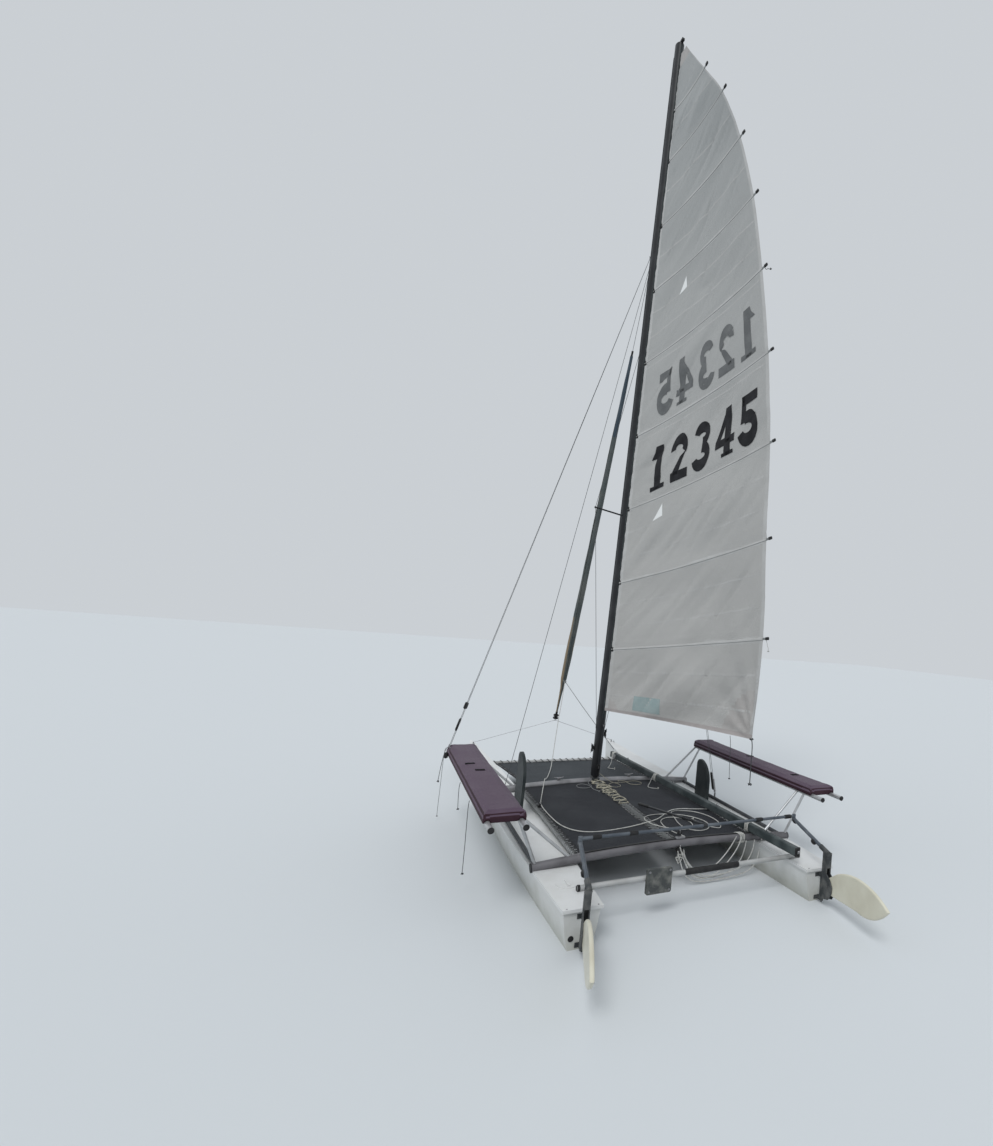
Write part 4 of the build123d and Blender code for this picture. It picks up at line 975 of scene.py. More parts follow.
def swelled_seat():
    """The port seat's solid filled out by a cloth simulation, and its points before that."""
    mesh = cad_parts["wing_seat_port"].data.copy()
    shape = bmesh.new()
    shape.from_mesh(mesh)
    bmesh.ops.remove_doubles(shape, verts=shape.verts, dist=1e-5)
    shape.to_mesh(mesh)
    shape.free()
    pad = linked("pad", mesh)
    remesh = pad.modifiers.new("even", "REMESH")
    remesh.mode = "VOXEL"
    remesh.voxel_size = 0.0065
    soften = pad.modifiers.new("soften", "SMOOTH")
    soften.factor = 0.5
    soften.iterations = 4
    bpy.context.view_layer.update()
    even = as_mesh(pad)
    bpy.data.objects.remove(pad)
    start = [v.co.copy() for v in even.vertices]
    pad = linked("pad", even)
    held = pad.vertex_groups.new(name="held")
    held.add([v.index for v in even.vertices if v.co.z < SEAT_FOOT], 1.0, "REPLACE")
    swell = pad.modifiers.new("swell", "CLOTH")
    swell.settings.use_pressure = True
    swell.settings.uniform_pressure_force = 4.0
    swell.settings.effector_weights.gravity = 0
    swell.settings.vertex_group_mass = "held"
    swell.settings.quality = 4
    swell.point_cache.frame_start, swell.point_cache.frame_end = 1, 20
    for step in range(1, 21):
        bpy.context.scene.frame_set(step)
    full = as_mesh(pad)
    bpy.data.objects.remove(pad)
    bpy.context.scene.frame_set(1)
    return full, start


def finish_seat(mesh, start):
    """Caps the swelling and adds the cover's drag lines; the top keeps the seat cloth, while the sides and
    underside take darker finishes that are painted shade.
    """
    low = [min(p[k] for p in start) for k in range(3)]
    high = [max(p[k] for p in start) for k in range(3)]
    middle = (low[1] + high[1]) / 2
    for vert, rest in zip(mesh.vertices, start):
        move = vert.co - rest
        if move.length > SWELL_CAP:
            move = move.normalized() * SWELL_CAP
        top = max(0.0, (rest.z - 0.90) / (high[2] - 0.90))
        x, y = rest.x, rest.y
        drag = 0.0030 * noise.noise(Vector((x * 2.4, y * 9.0, 1.0)))
        drag += 0.0012 * noise.noise(Vector((x * 14, y * 10, 5.0)))
        crown = 0.0
        vert.co = rest + move + Vector((0, 0, top * (drag + crown)))
        side = 0.0022 * noise.noise(Vector((x * 7, rest.z * 20, 3.0)))
        if rest.z > 0.885 and abs(y - middle) > 0.12:
            vert.co.y += side
    mesh.materials.clear()
    for material in (seat_cloth, seat_side_shade, seat_underside_shade_and_strap_black):
        mesh.materials.append(material)
    # Faces that look up keep the seat cloth; the sides take painted shade, and the faces that look down take
    # darker painted shade.
    for face in mesh.polygons:
        if face.normal.z > 0.45:
            face.material_index = 0
        elif face.normal.z < -0.45:
            face.material_index = 2
        else:
            face.material_index = 1
    mesh.shade_smooth()


def add_seat(word, mesh):
    mesh.name = f"seat_{word}"
    obj = linked(f"seat_{word}", mesh)
    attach(obj, "root")
    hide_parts(f"wing_seat_{word}")
    return obj


def mirrored(mesh, name):
    copy = mesh.copy()
    copy.name = name
    copy.transform(Matrix.Diagonal((1, -1, 1, 1)))
    copy.flip_normals()
    return copy


seat_mesh, seat_start = swelled_seat()
finish_seat(seat_mesh, seat_start)
seats = {"port": add_seat("port", seat_mesh),
         "starboard": add_seat("starboard", mirrored(seat_mesh, "seat_starboard"))}


def seat_webbing(word, spots):
    """Short black straps laid over a seat's top, each a thin grid that follows the cover."""
    tops = [v.co for v in seats[word].data.vertices if v.co.z > 0.91]
    shape = Shape()
    for x, y in spots:
        near = [p for p in tops if abs(p.x - x - TRANSOM_X) < 0.08 and abs(p.y - y) < 0.09]

        def height(dx, dy):
            spot = at(x + dx, y + dy, 0)
            return max(p.z for p in near if math.hypot(p.x - spot.x, p.y - spot.y) < 0.016)

        rings = []
        for i in range(9):
            dx = -0.024 + 0.006 * i
            across = [0.010 * q - 0.040 for q in range(9)]
            ring = [at(x + dx, y + dy, height(dx, dy) + 0.0026) for dy in across]
            rings.append(ring + [p - Vector((0, 0, 0.004)) for p in reversed(ring)])
        shape.rings(rings)
    return shape.piece(f"seat_webbing_{word}", "root", [seat_underside_shade_and_strap_black])


seat_webbing("port", [(2.06, 1.50), (1.80, 1.45)])
seat_webbing("starboard", [(1.94, -1.50), (1.01, -1.46)])


# Mast, and the sail hung behind it

RAKE, LEAN = math.radians(4.81), math.radians(0.75)
MAST_UP = Vector((-math.sin(RAKE), math.sin(LEAN), math.cos(RAKE))).normalized()
MAST_FORE = Vector((0, 1, 0)).cross(MAST_UP).normalized()
MAST_PORT = MAST_UP.cross(MAST_FORE)
MAST_FOOT = at(FRONT_BEAM_X, 0, 0.562)


def mast_point(s, fore=0.0, port=0.0):
    return MAST_FOOT + MAST_UP * s + MAST_FORE * fore + MAST_PORT * port


MAST_TOP = 8.578


def build_mast():
    """The mast's oval tube with its luff track, closed at the top."""
    shape = Shape()
    levels = [0.002, 0.012] + [0.3 * k for k in range(1, 29)] + [MAST_TOP - 0.004, MAST_TOP]
    rings = []
    for k, s in enumerate(levels):
        inset = 0.004 if k in (0, len(levels) - 1) else 0.0
        rings.append([
            mast_point(s, 0.010 + (0.070 - inset) * math.cos(a), (0.048 - inset) * math.sin(a))
            for a in (2 * math.pi * q / 36 for q in range(36))
        ])
    shape.rings(rings)
    for port in (-0.0085, 0.0085):
        lip = [(-0.0615, port - 0.003), (-0.0615, port + 0.003),
               (-0.052, port + 0.004), (-0.052, port - 0.004)]
        heights = (0.70, 2.7, 4.7, 6.7, MAST_TOP - 0.03)
        shape.rings([[mast_point(s, fore, side) for fore, side in lip] for s in heights], 1)
    return shape.piece("mast_tube", "mast", [mast_black, boom_grey], ["mast"])


build_mast()


def wire(shape, a, b, radius, slot=0, sides=8):
    shape.tube([Vector(a), (Vector(a) + Vector(b)) / 2, Vector(b)], radius, sides, slot)


def between(a, b, share):
    return Vector(a) + (Vector(b) - Vector(a)) * share


def grip(shape, a, b, taper, radii, sides=12):
    """A round grip from a to b that narrows over a share of its length at each end."""
    shape.tube([a, between(a, b, taper), between(a, b, 1 - taper), b], radii, sides)


def sheave_block(shape, place, radius, slot=0, steel_slot=1):
    """A small pulley block: two cheeks, a wheel between them and a strap over the top."""
    wide = radius * 0.9
    across = place @ Matrix.Rotation(math.pi / 2, 4, "X")
    shape.turned(across, [(0.30 * radius, -0.5 * wide), (0.95 * radius, -0.5 * wide), (radius, -0.4 * wide),
                          (radius, -0.24 * wide), (0.80 * radius, -0.18 * wide), (0.72 * radius, 0),
                          (0.80 * radius, 0.18 * wide), (radius, 0.24 * wide), (radius, 0.4 * wide),
                          (0.95 * radius, 0.5 * wide), (0.30 * radius, 0.5 * wide)], 18, slot)
    strap = [(0, -0.62 * wide, 0), (0, -0.60 * wide, radius * 0.9), (0, -0.3 * wide, radius * 1.5),
             (0, 0.3 * wide, radius * 1.5), (0, 0.60 * wide, radius * 0.9), (0, 0.62 * wide, 0)]
    shape.tube([place @ Vector(p) for p in smooth_path(strap, 3)], radius * 0.13, 6, steel_slot)


def horn_cleat(shape, place, length, slot=0):
    """A horn cleat on its foot, its horns along the place's x."""
    shape.block(place @ Matrix.Translation((0, 0, length * 0.09)),
                (length * 0.34, length * 0.2, length * 0.18), 0.002, slot)
    line = [(-0.5, 0, 0.30), (-0.3, 0, 0.24), (0, 0, 0.21), (0.3, 0, 0.24), (0.5, 0, 0.30)]
    radii = [length * r for r in (0.03, 0.055, 0.07, 0.055, 0.03)]
    shape.tube([place @ (Vector(p) * length) for p in line], radii, 8, slot)


def eye_strap(shape, place, length, slot=1):
    """A bowed strap with a foot at each end, along the place's x."""
    line = [(-0.5, 0, 0.0), (-0.42, 0, 0.12), (-0.18, 0, 0.34),
            (0.18, 0, 0.34), (0.42, 0, 0.12), (0.5, 0, 0.0)]
    shape.tube([place @ (Vector(p) * length) for p in smooth_path(line, 3)], length * 0.07, 6, slot)
    for end in (-0.52, 0.52):
        foot = place @ Matrix.Translation((end * length, 0, 0.002))
        shape.block(foot, (length * 0.34, length * 0.26, 0.003), 0.001, slot)


# Below 1, a turn of rope is squarer than an oval, like the bars that it holds
TURN_SQUARENESS = 0.55


def turns_round(shape, a, b, half_wide, half_high, radius, count, slot=0, tilt=0.006):
    """Turns of rope side by side round a bar that runs from a to b."""
    along = (Vector(b) - Vector(a)).normalized()
    side = along.cross(UP).normalized()
    over = side.cross(along)
    for k in range(count):
        middle = between(a, b, (k + 0.5) / count)
        line = []
        for q in range(16):
            cx, cy = math.cos(2 * math.pi * q / 16), math.sin(2 * math.pi * q / 16)
            dx = math.copysign(abs(cx) ** TURN_SQUARENESS, cx) * (half_wide + radius)
            dy = math.copysign(abs(cy) ** TURN_SQUARENESS, cy) * (half_high + radius)
            line.append(middle + side * dx + over * dy + along * (tilt * cx))
        shape.tube(line, radius, 6, slot, looped=True)


# Trapeze wires and the rest of the fixed rigging that the drawings leave out

HOUNDS = mast_point(6.15, 0.106)
CLEW = at(4.600, 0, 1.500)
wires = Shape()
port_ends = (at(2.950, 1.585, 0.940), at(2.860, 1.590, 0.942))
for end, fore in zip(port_ends, (0.008, 0.000)):
    wire(wires, HOUNDS + Vector((fore, 0.030, -0.03)), end, 0.0022)
starboard_end = at(2.130, -1.150, 0.530)
wire(wires, HOUNDS + Vector((0.004, -0.030, -0.03)), starboard_end, 0.0022)
for port in (0.030, -0.030):
    tang = mast_point(6.13, 0.108, port)
    wires.block(frame_at(tang, MAST_PORT, MAST_UP), (0.030, 0.016, 0.003), 0.001, 1)
wires.tube([mast_point(6.15, 0.108, -0.036), mast_point(6.15, 0.108, 0.036)], 0.005, 8, 1)
wires.block(frame_at(mast_point(6.15, 0.094), MAST_UP, MAST_FORE), (0.036, 0.020, 0.05), 0.003, 1)
wires.piece("trapeze_wires", "root", [wire_dark, steel])


def down_wire(foot, z):
    """The place at a height on the wire from the hounds to its foot."""
    return between(HOUNDS, foot, (HOUNDS.z - z) / (HOUNDS.z - foot.z))


handles = Shape()
for foot, low, high, taper, radii in (
        (port_ends[0], 1.33, 1.40, 0.12, (0.0095, 0.019, 0.019, 0.0095)),
        (port_ends[0], 1.10, 1.23, 0.12, (0.006, 0.012, 0.012, 0.006)),
        (starboard_end, 0.535, 0.735, 0.08, (0.007, 0.014, 0.013, 0.007))):
    grip(handles, down_wire(foot, low), down_wire(foot, high), taper, radii)
grip(handles, at(2.79, 1.620, 0.905), at(2.83, 1.622, 0.845), 0.2, (0.010, 0.021, 0.021, 0.010))
handles.piece("trapeze_handles", "root", [black_plastic])
foot_pins = Shape()
for end in port_ends:
    eye_strap(foot_pins, frame_at(end, UP), 0.045)
for side in (1, -1):
    foot = at(2.150, side * 1.190, 0.490)
    toward = (HOUNDS - foot).normalized()
    for offset in (-0.006, 0.006):
        plate = frame_at(foot + toward * 0.085 + Vector((offset, 0, 0)), toward, (0, 1, 0))
        foot_pins.block(plate, (0.020, 0.0025, 0.15), 0.001, 1)
    for step in (0.03, 0.06, 0.09, 0.12, 0.15):
        pin = foot + toward * step
        foot_pins.tube([pin + Vector((-0.011, 0, 0)), pin + Vector((0.011, 0, 0))], 0.0035, 8, 1)
foot_pins.piece("shroud_adjusters", "root", [black_plastic, steel])

sheet_end = at(4.030, -0.612, 0.640)
rope_skin("jib_sheet_starboard_lead", "root", [
    CLEW, between(CLEW, sheet_end, 0.35) - UP * 0.012, between(CLEW, sheet_end, 0.7) - UP * 0.010, sheet_end,
], 0.009, rope_grey)
clew_tie = Shape()
for line in (
        [(0.025, 0.0, 0.03), (0.005, 0.018, 0.012), (-0.015, 0.004, -0.010), (0.004, -0.018, -0.004),
         (0.022, -0.004, 0.018)],
        [(0.015, 0.010, -0.02), (-0.012, 0.014, 0.0), (-0.016, -0.012, 0.004), (0.012, -0.012, -0.016)]):
    clew_tie.tube(smooth_path([CLEW + Vector(p) for p in line], 3, True), 0.0045, 7, looped=True)
clew_tie.piece("clew_tie", "root", [rope_grey])

# Boom on deck: end plugs, sheaves and lashings

BOOM_ENDS = (0.082, 4.070)


def boom_line(x, up=0.0):
    """A place on the middle line of the stowed boom, or so far over it."""
    share = (x - BOOM_ENDS[0]) / (BOOM_ENDS[1] - BOOM_ENDS[0])
    return at(x, -0.832 + share * 0.222, 0.5135 + 0.00449 * (x - REAR_BEAM_X) + 0.0375 + up)


BOOM_RUN = (boom_line(BOOM_ENDS[1]) - boom_line(BOOM_ENDS[0])).normalized()
ends = Shape()
for x, way in zip(BOOM_ENDS, (-1, 1)):
    plug = boom_line(x) + BOOM_RUN * way * 0.004
    ends.block(frame_at(plug, BOOM_RUN, (0, 1, 0)), (0.0505, 0.0755, 0.018), 0.004)
    sheave = frame_at(boom_line(x) + BOOM_RUN * way * 0.006, UP, BOOM_RUN)
    ends.turned(sheave @ Matrix.Rotation(math.pi / 2, 4, "X"),
                [(0.012, -0.010), (0.017, -0.008), (0.013, 0), (0.017, 0.008), (0.012, 0.010)], 18, 1)
for x in (0.50, 1.35, 2.30, 3.55):
    eye_strap(ends, frame_at(boom_line(x, 0.0385), UP, BOOM_RUN), 0.05)
plate = frame_at(boom_line(3.93) + Vector((0, 0.030, 0.0)), (0, 1, 0), BOOM_RUN)
ends.block(plate, (0.10, 0.05, 0.006), 0.002, 1)
ends.piece("boom_fittings", "root", [black_plastic, steel])
lashings = Shape()
for x, count in ((3.99, 5), (2.72, 5), (0.80, 4)):
    turns_round(lashings, boom_line(x - 0.03), boom_line(x + 0.03), 0.026, 0.0385, 0.0036, count)
first, last = (at(REAR_BEAM_X, y, arch_z(y)) for y in (-0.62, -0.68))
turns_round(lashings, first, last, 0.036, 0.036, 0.0042, 4, tilt=0.016)
lashings.piece("boom_lashings", "root", [rope_white])
free_rope("lashing_tail_fore", [
    (3.985, -0.578, 0.596), (3.97, -0.566, 0.60), (3.90, -0.55, 0.56), (3.86, -0.53, 0.50),
    (3.84, -0.50, 0.452), (3.80, -0.46, 0.444), (3.74, -0.47, 0.447), (3.71, -0.52, 0.449)], 0.007,
    rope_white, ends=("far",))
free_rope("lashing_tail_aft", [
    (2.71, -0.645, 0.595), (2.69, -0.632, 0.60), (2.66, -0.60, 0.56), (2.65, -0.575, 0.51),
    (2.63, -0.55, 0.492), (2.57, -0.52, 0.492), (2.50, -0.55, 0.491), (2.49, -0.61, 0.489)], 0.007,
    rope_white, ends=("far",))

# Blocks, cleats, traveller and the small gear on beams and decks

TRANSOM_FACE = -0.0005
gear = Shape()
sheave_block(gear, frame_at(at(2.130, 0.815, 0.497), (0, -0.3, 1), (1, 0, 0)), 0.020)
sheave_block(gear, frame_at(at(1.600, -0.812, 0.494), (0, 0.3, 1), (1, 0, 0)), 0.020)
for x, y in ((2.130, 0.852), (1.600, -0.852)):
    eye_strap(gear, frame_at(at(x, y, 0.4845), UP), 0.05)
track = [at(REAR_BEAM_X, -0.80 + 0.1 * k, arch_z(-0.80 + 0.1 * k) + 0.0385) for k in range(17)]
bar_profile = ((-0.011, 0, -0.004), (0.011, 0, -0.004), (0.013, 0, 0.003), (-0.013, 0, 0.003))
gear.rings([[p + Vector(q) for q in bar_profile] for p in track], 0)
gear.block(frame_at(at(REAR_BEAM_X, -0.045, 0.545), UP, (0, 1, 0)), (0.085, 0.036, 0.014), 0.004, 1)
sheave_block(gear, frame_at(at(0.700, -0.035, 0.445), UP, (0, 1, 0)), 0.030)
sheave_block(gear, frame_at(at(0.745, -0.045, 0.578), UP, (0, 1, 0)), 0.020)
sheave_block(gear, frame_at(mast_point(0.60, -0.085), MAST_UP, MAST_PORT), 0.016)
sheave_block(gear, frame_at(mast_point(0.14, -0.082), -MAST_UP, MAST_PORT), 0.018)
for y in (0.42, -0.42):
    horn_cleat(gear, frame_at(at(FRONT_BEAM_X, y, arch_z(y) + 0.038), UP, (0, 1, 0)), 0.11, 1)
for side in (1, -1):
    eye_strap(gear, frame_at(at(5.14, side * HULL_Y, 0.5235), UP), 0.05)
    for y in (0.905, 1.12):
        gear.turned(frame_at(at(TRANSOM_FACE, side * y, 0.43), (-1, 0, 0), UP),
                    [(0.006, -0.002), (0.006, 0.001), (0.004, 0.003)], 10, 1)
    gear.turned(frame_at(at(TRANSOM_FACE, side * 1.075, 0.235), (-1, 0, 0), UP),
                [(0.019, -0.002), (0.019, 0.003), (0.012, 0.005), (0.011, 0.010), (0.007, 0.011)], 18, 0)
gear.piece("deck_gear", "root", [black_plastic, steel])
hanging = Shape()
for k, (dy, dz, r) in enumerate(
        ((0.0, 0.0, 0.017), (0.016, -0.022, 0.015), (-0.014, -0.026, 0.016), (0.004, -0.046, 0.014))):
    centre = at(0.688, -0.035 + dy, 0.405 + dz)
    lobes = [Vector((0.5 * math.sin(2 * t), math.cos(t), math.sin(t) + 0.3 * math.cos(2 * t)))
             for t in (2 * math.pi * q / 18 + k for q in range(18))]
    hanging.tube([centre + r * p for p in lobes], 0.0045, 6, looped=True)
hanging.piece("hanging_knot", "root", [rope_white])
horns = Shape()
for s, turn in ((0.33, 1), (0.50, -1)):
    horn_cleat(horns, frame_at(mast_point(s, 0.010, turn * 0.047), MAST_PORT * turn, MAST_UP), 0.11)
    for k in range(4):
        place = mast_point(s, 0.010, turn * (0.064 + 0.004 * k))
        horns.tube([place + MAST_UP * (0.040 * math.cos(t)) + MAST_FORE * (0.016 * math.sin(2 * t)) for t in
                    (2 * math.pi * q / 16 for q in range(16))], 0.0030, 6, 1, looped=True)
for port, top in ((0.050, 8.42), (-0.050, 6.10)):
    wire(horns, mast_point(0.56, 0.024, port), mast_point(top, 0.024, port), 0.0028, 1, 6)
for port in (-0.010, 0.0, 0.010):
    wire(horns, mast_point(0.155, -0.082, port), mast_point(0.585, -0.085, port), 0.0028, 1, 6)
horns.piece("mast_cleats_and_falls", "mast", [black_plastic, rope_dark])

# Grip and bolts of the stern tube, and the grips of the tillers

STERN_TUBE_X, STERN_TUBE_Z = 0.250, 0.450
CROSSBAR_X, CROSSBAR_Z = 0.5466, 0.690
stern = Shape()
stern.tube([at(STERN_TUBE_X, y, STERN_TUBE_Z) for y in (0.135, 0.125, 0.0, -0.2, -0.345, -0.355)],
           [0.0215, 0.0245, 0.0250, 0.0245, 0.0245, 0.0215], 20)
for y in (0.285, 0.451):
    for z in (0.36, 0.505):
        stern.turned(frame_at(at(0.2035, y, z), (-1, 0, 0), UP),
                     [(0.009, -0.001), (0.009, 0.004), (0.004, 0.0045), (0.004, 0.012)], 6, 1)
for y in (0.975, -0.975):
    stern.turned(frame_at(at(STERN_TUBE_X, y, STERN_TUBE_Z), (0, math.copysign(1, y), 0), UP),
                 [(0.022, -0.012), (0.023, 0.006), (0.018, 0.010)], 18)
stern.piece("stern_tube_grip", "root", [black_plastic, steel])

for side, word in SIDES:
    boots = Shape()
    yoke = at(CROSSBAR_X, side * HULL_Y - 0.118, 0.655)
    arm_low = at(0.010, side * HULL_Y, 0.585)
    run = (yoke - arm_low).normalized()
    for start, length, r in ((0.09, 0.05, 0.0205), (0.50, 0.045, 0.0195)):
        a, b = arm_low + run * start, arm_low + run * (start + length)
        grip(boots, a, b, 0.2, (r * 0.8, r, r, r * 0.8), 16)
    boots.piece(f"tiller_boots_{word}", f"rudder_{word}", [black_plastic, steel])
bar = Shape()
for y in (0.80, 0.50, -0.70, -1.02):
    bar.tube([at(CROSSBAR_X, y - along, CROSSBAR_Z) for along in (0, 0.01, 0.06, 0.07)],
             [0.0165, 0.0185, 0.0185, 0.0165], 16)
tip, root = at(1.860, -0.120, 0.521), at(0.585, -0.180, 0.690)
run = (tip - root).normalized()
bar.tube([tip + run * along for along in (-0.24, -0.23, -0.02, 0.002)], [0.0125, 0.0150, 0.0150, 0.010], 14)
for k in range(7):
    bar.tube([root + run * (along + 0.03 * k) for along in (0.16, 0.168)], 0.0138, 12)
bar.piece("tiller_grips", "tiller_bar", [black_plastic])

# Height along the luff, chord, swing to starboard and rise of the chord, for foot, battens and head
SAIL_ROWS = [
    (0.790, 2.255, 18.8, 0.9), (1.510, 2.280, 18.4, 6.7), (2.290, 2.231, 17.6, 10.9),
    (3.150, 2.153, 17.6, 13.2), (4.000, 2.018, 17.4, 15.5), (4.850, 1.824, 17.2, 17.8),
    (5.690, 1.600, 16.4, 18.7), (6.440, 1.339, 14.0, 18.6), (7.190, 1.010, 9.0, 13.0),
    (7.780, 0.640, 5.0, 5.0), (8.440, 0.120, 3.0, 0.0),
]
LEECH_CUT = 0.978
CAMBER = 0.028
LUFF_BACK = 0.0665
SAIL_TOP = len(SAIL_ROWS) - 1
SAIL_COLUMNS, PANEL_ROWS = 96, 26


def sail_row(v):
    """The sail's row values at a height between two battens, on a smooth line through them."""
    v = min(max(v, 0.0), SAIL_TOP)
    i = min(int(v), SAIL_TOP - 1)
    t = v - i
    a, b, c, d = (SAIL_ROWS[min(max(i + k, 0), SAIL_TOP)] for k in (-1, 0, 1, 2))
    return [smooth_step(*values, t) for values in zip(a, b, c, d)]


def sail_fold(u, v):
    """Creases: crimps at the luff, slanting folds between battens and rays from the clew."""
    s, chord = sail_row(v)[:2]
    x = u * chord
    w = v - int(v)
    middle = math.sin(math.pi * min(max(w, 0.0), 1.0))
    crimp = 0.009 * math.exp(-x / 0.07) * noise.noise(Vector((s * 16.0, 3.1, x * 3)))
    across, along = -0.62 * x + 0.78 * s, 0.78 * x + 0.62 * s
    free = middle * (1 - math.exp(-x / 0.12)) * (1 - 0.85 * math.exp((x - chord) / 0.22))
    slant = 0.036 * free * noise.noise(Vector((across * 4.2, along * 0.8, 7.7)))
    broad = 0.055 * free * noise.noise(Vector((x * 0.9, s * 1.1, 2.2)))
    ridge = abs(noise.noise(Vector((across * 2.6, along * 0.45, 4.1))))
    crease = 0.016 * free * math.exp(-ridge / 0.035)
    fine = 0.009 * free * noise.noise(Vector((across * 12.0, along * 1.4, 1.7)))
    beside = 0.006 * math.exp(-w * 9) * math.sin(w * 60) * (0.4 + noise.noise(Vector((x * 2.0, v, 0.3))))
    clew = Vector(((1 - u) * chord, s - SAIL_ROWS[0][0] - 0.6 * (u - 1) * chord * 0.02))
    r = clew.length
    spread = math.sin(math.atan2(clew.y, max(clew.x, 1e-4)) * 15)
    rays = 0.011 * math.exp(-r / 0.55) * min(1, r / 0.08) * spread
    foot = -0.004 * math.exp(-max(v, 0) * 9)
    return crimp + slant + broad + crease + fine + beside + rays + foot


def sail_point(u, v, out=0.0, folds=True):
    """A point of the sail's middle surface, and so far out from it towards starboard."""
    s, chord, swing, rise = sail_row(v)
    chord *= LEECH_CUT
    swing, rise = math.radians(swing), math.radians(rise)
    along = Vector((-math.cos(swing) * math.cos(rise), -math.sin(swing) * math.cos(rise), math.sin(rise)))
    across = Vector((math.sin(swing), -math.cos(swing), 0))
    depth = CAMBER * chord
    radius = (chord**2 / 4 + depth**2) / (2 * depth)
    centre = mast_point(s, -LUFF_BACK) + along * (chord / 2) + across * (depth - radius)
    angle = math.asin(chord / 2 / radius) * (2 * u - 1)
    fold = sail_fold(u, v) if folds else 0.0
    return centre + (across * math.cos(angle) + along * math.sin(angle)) * (radius + 0.002 + out + fold)


def sail_slot(u, v):
    """Which cloth a place on the sail shows: the foot's band, the edges' tape or the corners' patches."""
    if v < 0.075:
        return 3
    if u > 0.975 or u < 0.016:
        return 1
    clew, tack = (math.hypot(away * 2.1, v * 0.75) for away in (1 - u, u))
    return 2 if clew < 0.42 or tack < 0.2 or SAIL_TOP - v < 0.32 else 0


sail = cloth(
    "sail_skin", "mainsail", lambda u, v, out: sail_point(u, v * SAIL_TOP, out),
    SAIL_COLUMNS, SAIL_TOP * PANEL_ROWS, [sail_cloth, sail_tape, sail_patch, foot_band],
    lambda u, v: sail_slot(u, v * SAIL_TOP), ["mainsail"], half=0.0011)


def lay_strip(shape, v, scale, profile, u_range, steps, slot_of):
    """A raised strip across both faces of the sail; profile is (place up the luff, height over the cloth)."""
    n = len(profile)
    for side in (1, -1):
        start = len(shape.points)
        for i in range(steps + 1):
            u = span(u_range, i / steps)
            shape.points += [sail_point(u, v + d * scale, side * h) for d, h in profile]
        for i in range(steps):
            for k in range(n - 1):
                face = [start + q for q in (i * n + k, i * n + k + 1, (i + 1) * n + k + 1, (i + 1) * n + k)]
                shape.faces.append(face if side < 0 else face[::-1])
                shape.slots.append(slot_of(i, k))


def build_batten_pockets():
    """A raised pocket on both faces over each batten, with its ends past the leech."""
    shape = Shape()
    profile = [(-0.024, 0.0014), (-0.010, 0.0022), (-0.007, 0.0062), (0.007, 0.0062), (0.010, 0.0022),
               (0.024, 0.0014)]
    for row in range(1, SAIL_TOP):
        scale = 2 / (SAIL_ROWS[row + 1][0] - SAIL_ROWS[row - 1][0])
        # The pocket's lower flank takes batten_shade: painted shade under the raised pocket.
        lay_strip(shape, row, scale, profile, (0.0, 1.0), 60, lambda i, k: 1 if k == 1 else 0)
        tip, before_tip, luff = (sail_point(u, row, 0, folds=False) for u in (1.0, 0.97, 0.004))
        run = (tip - before_tip).normalized()
        for place, size, edge, slot in (
                (tip + run * 0.02, (0.022, 0.008, 0.06), 0.002, 1),
                (tip + run * 0.052, (0.028, 0.017, 0.042), 0.004, 2),
                (luff, (0.05, 0.012, 0.03), 0.003, 2)):
            shape.block(frame_at(place, run, MAST_UP), size, edge, slot)
    shape.piece("batten_pockets", "mainsail", [sail_tape, batten_shade, black_plastic], ["battens"],
                made=False)


def build_seams():
    """Flat sewn seams across the cloth between the battens, each with two rows of stitches."""
    shape = Shape()
    profile = [(-0.0085, 0.0014), (-0.0065, 0.0019), (-0.0045, 0.0024), (-0.0030, 0.0019), (0.0030, 0.0019),
               (0.0045, 0.0024), (0.0065, 0.0019), (0.0085, 0.0014)]
    for v in (0.34, 0.67, 1.33, 1.67, 2.33, 2.67, 3.90, 4.90, 5.33, 5.67, 6.5, 7.5, 8.5):
        scale = 0.8 / (sail_row(v + 0.5)[0] - sail_row(v - 0.3)[0])
        lay_strip(shape, v, scale, profile, (0.018, 0.974), SAIL_COLUMNS,
                  lambda i, k: 1 if k in (1, 2, 4, 5) and i % 2 else 0)
    shape.piece("sail_seams", "mainsail", [sail_tape, sail_patch], made=False)


build_batten_pockets()
build_seams()
# Cord ends that hang from the foot and the leech
free_rope("foot_tail", [
    (1.010, -0.634, 1.365), (1.005, -0.640, 1.33), (0.995, -0.642, 1.24), (0.985, -0.640, 1.12),
    (0.975, -0.642, 1.01), (0.970, -0.641, 0.965)], 0.005, rope_dark, "mainsail",
    ends=("far",), sides=6)
free_rope("clew_tail", [
    (0.722, -0.700, 1.372), (0.716, -0.706, 1.34), (0.712, -0.708, 1.25), (0.711, -0.706, 1.14),
    (0.709, -0.708, 1.04), (0.708, -0.707, 0.975)], 0.009, rope_dark, "mainsail",
    ends=("start", "far"), sides=8)
free_rope("leech_tie_low", [
    (0.610, -0.690, 2.318), (0.602, -0.693, 2.300), (0.590, -0.696, 2.282), (0.594, -0.699, 2.262),
    (0.575, -0.702, 2.240), (0.578, -0.704, 2.215)], 0.005, rope_white, "mainsail",
    ends=("far",), sides=6)
free_rope("leech_tie_high", [
    (0.815, -0.452, 5.940), (0.806, -0.455, 5.918), (0.788, -0.460, 5.905), (0.776, -0.464, 5.915),
    (0.762, -0.468, 5.900), (0.742, -0.473, 5.895)], 0.005, rope_dark, "mainsail",
    ends=("far",), sides=6)


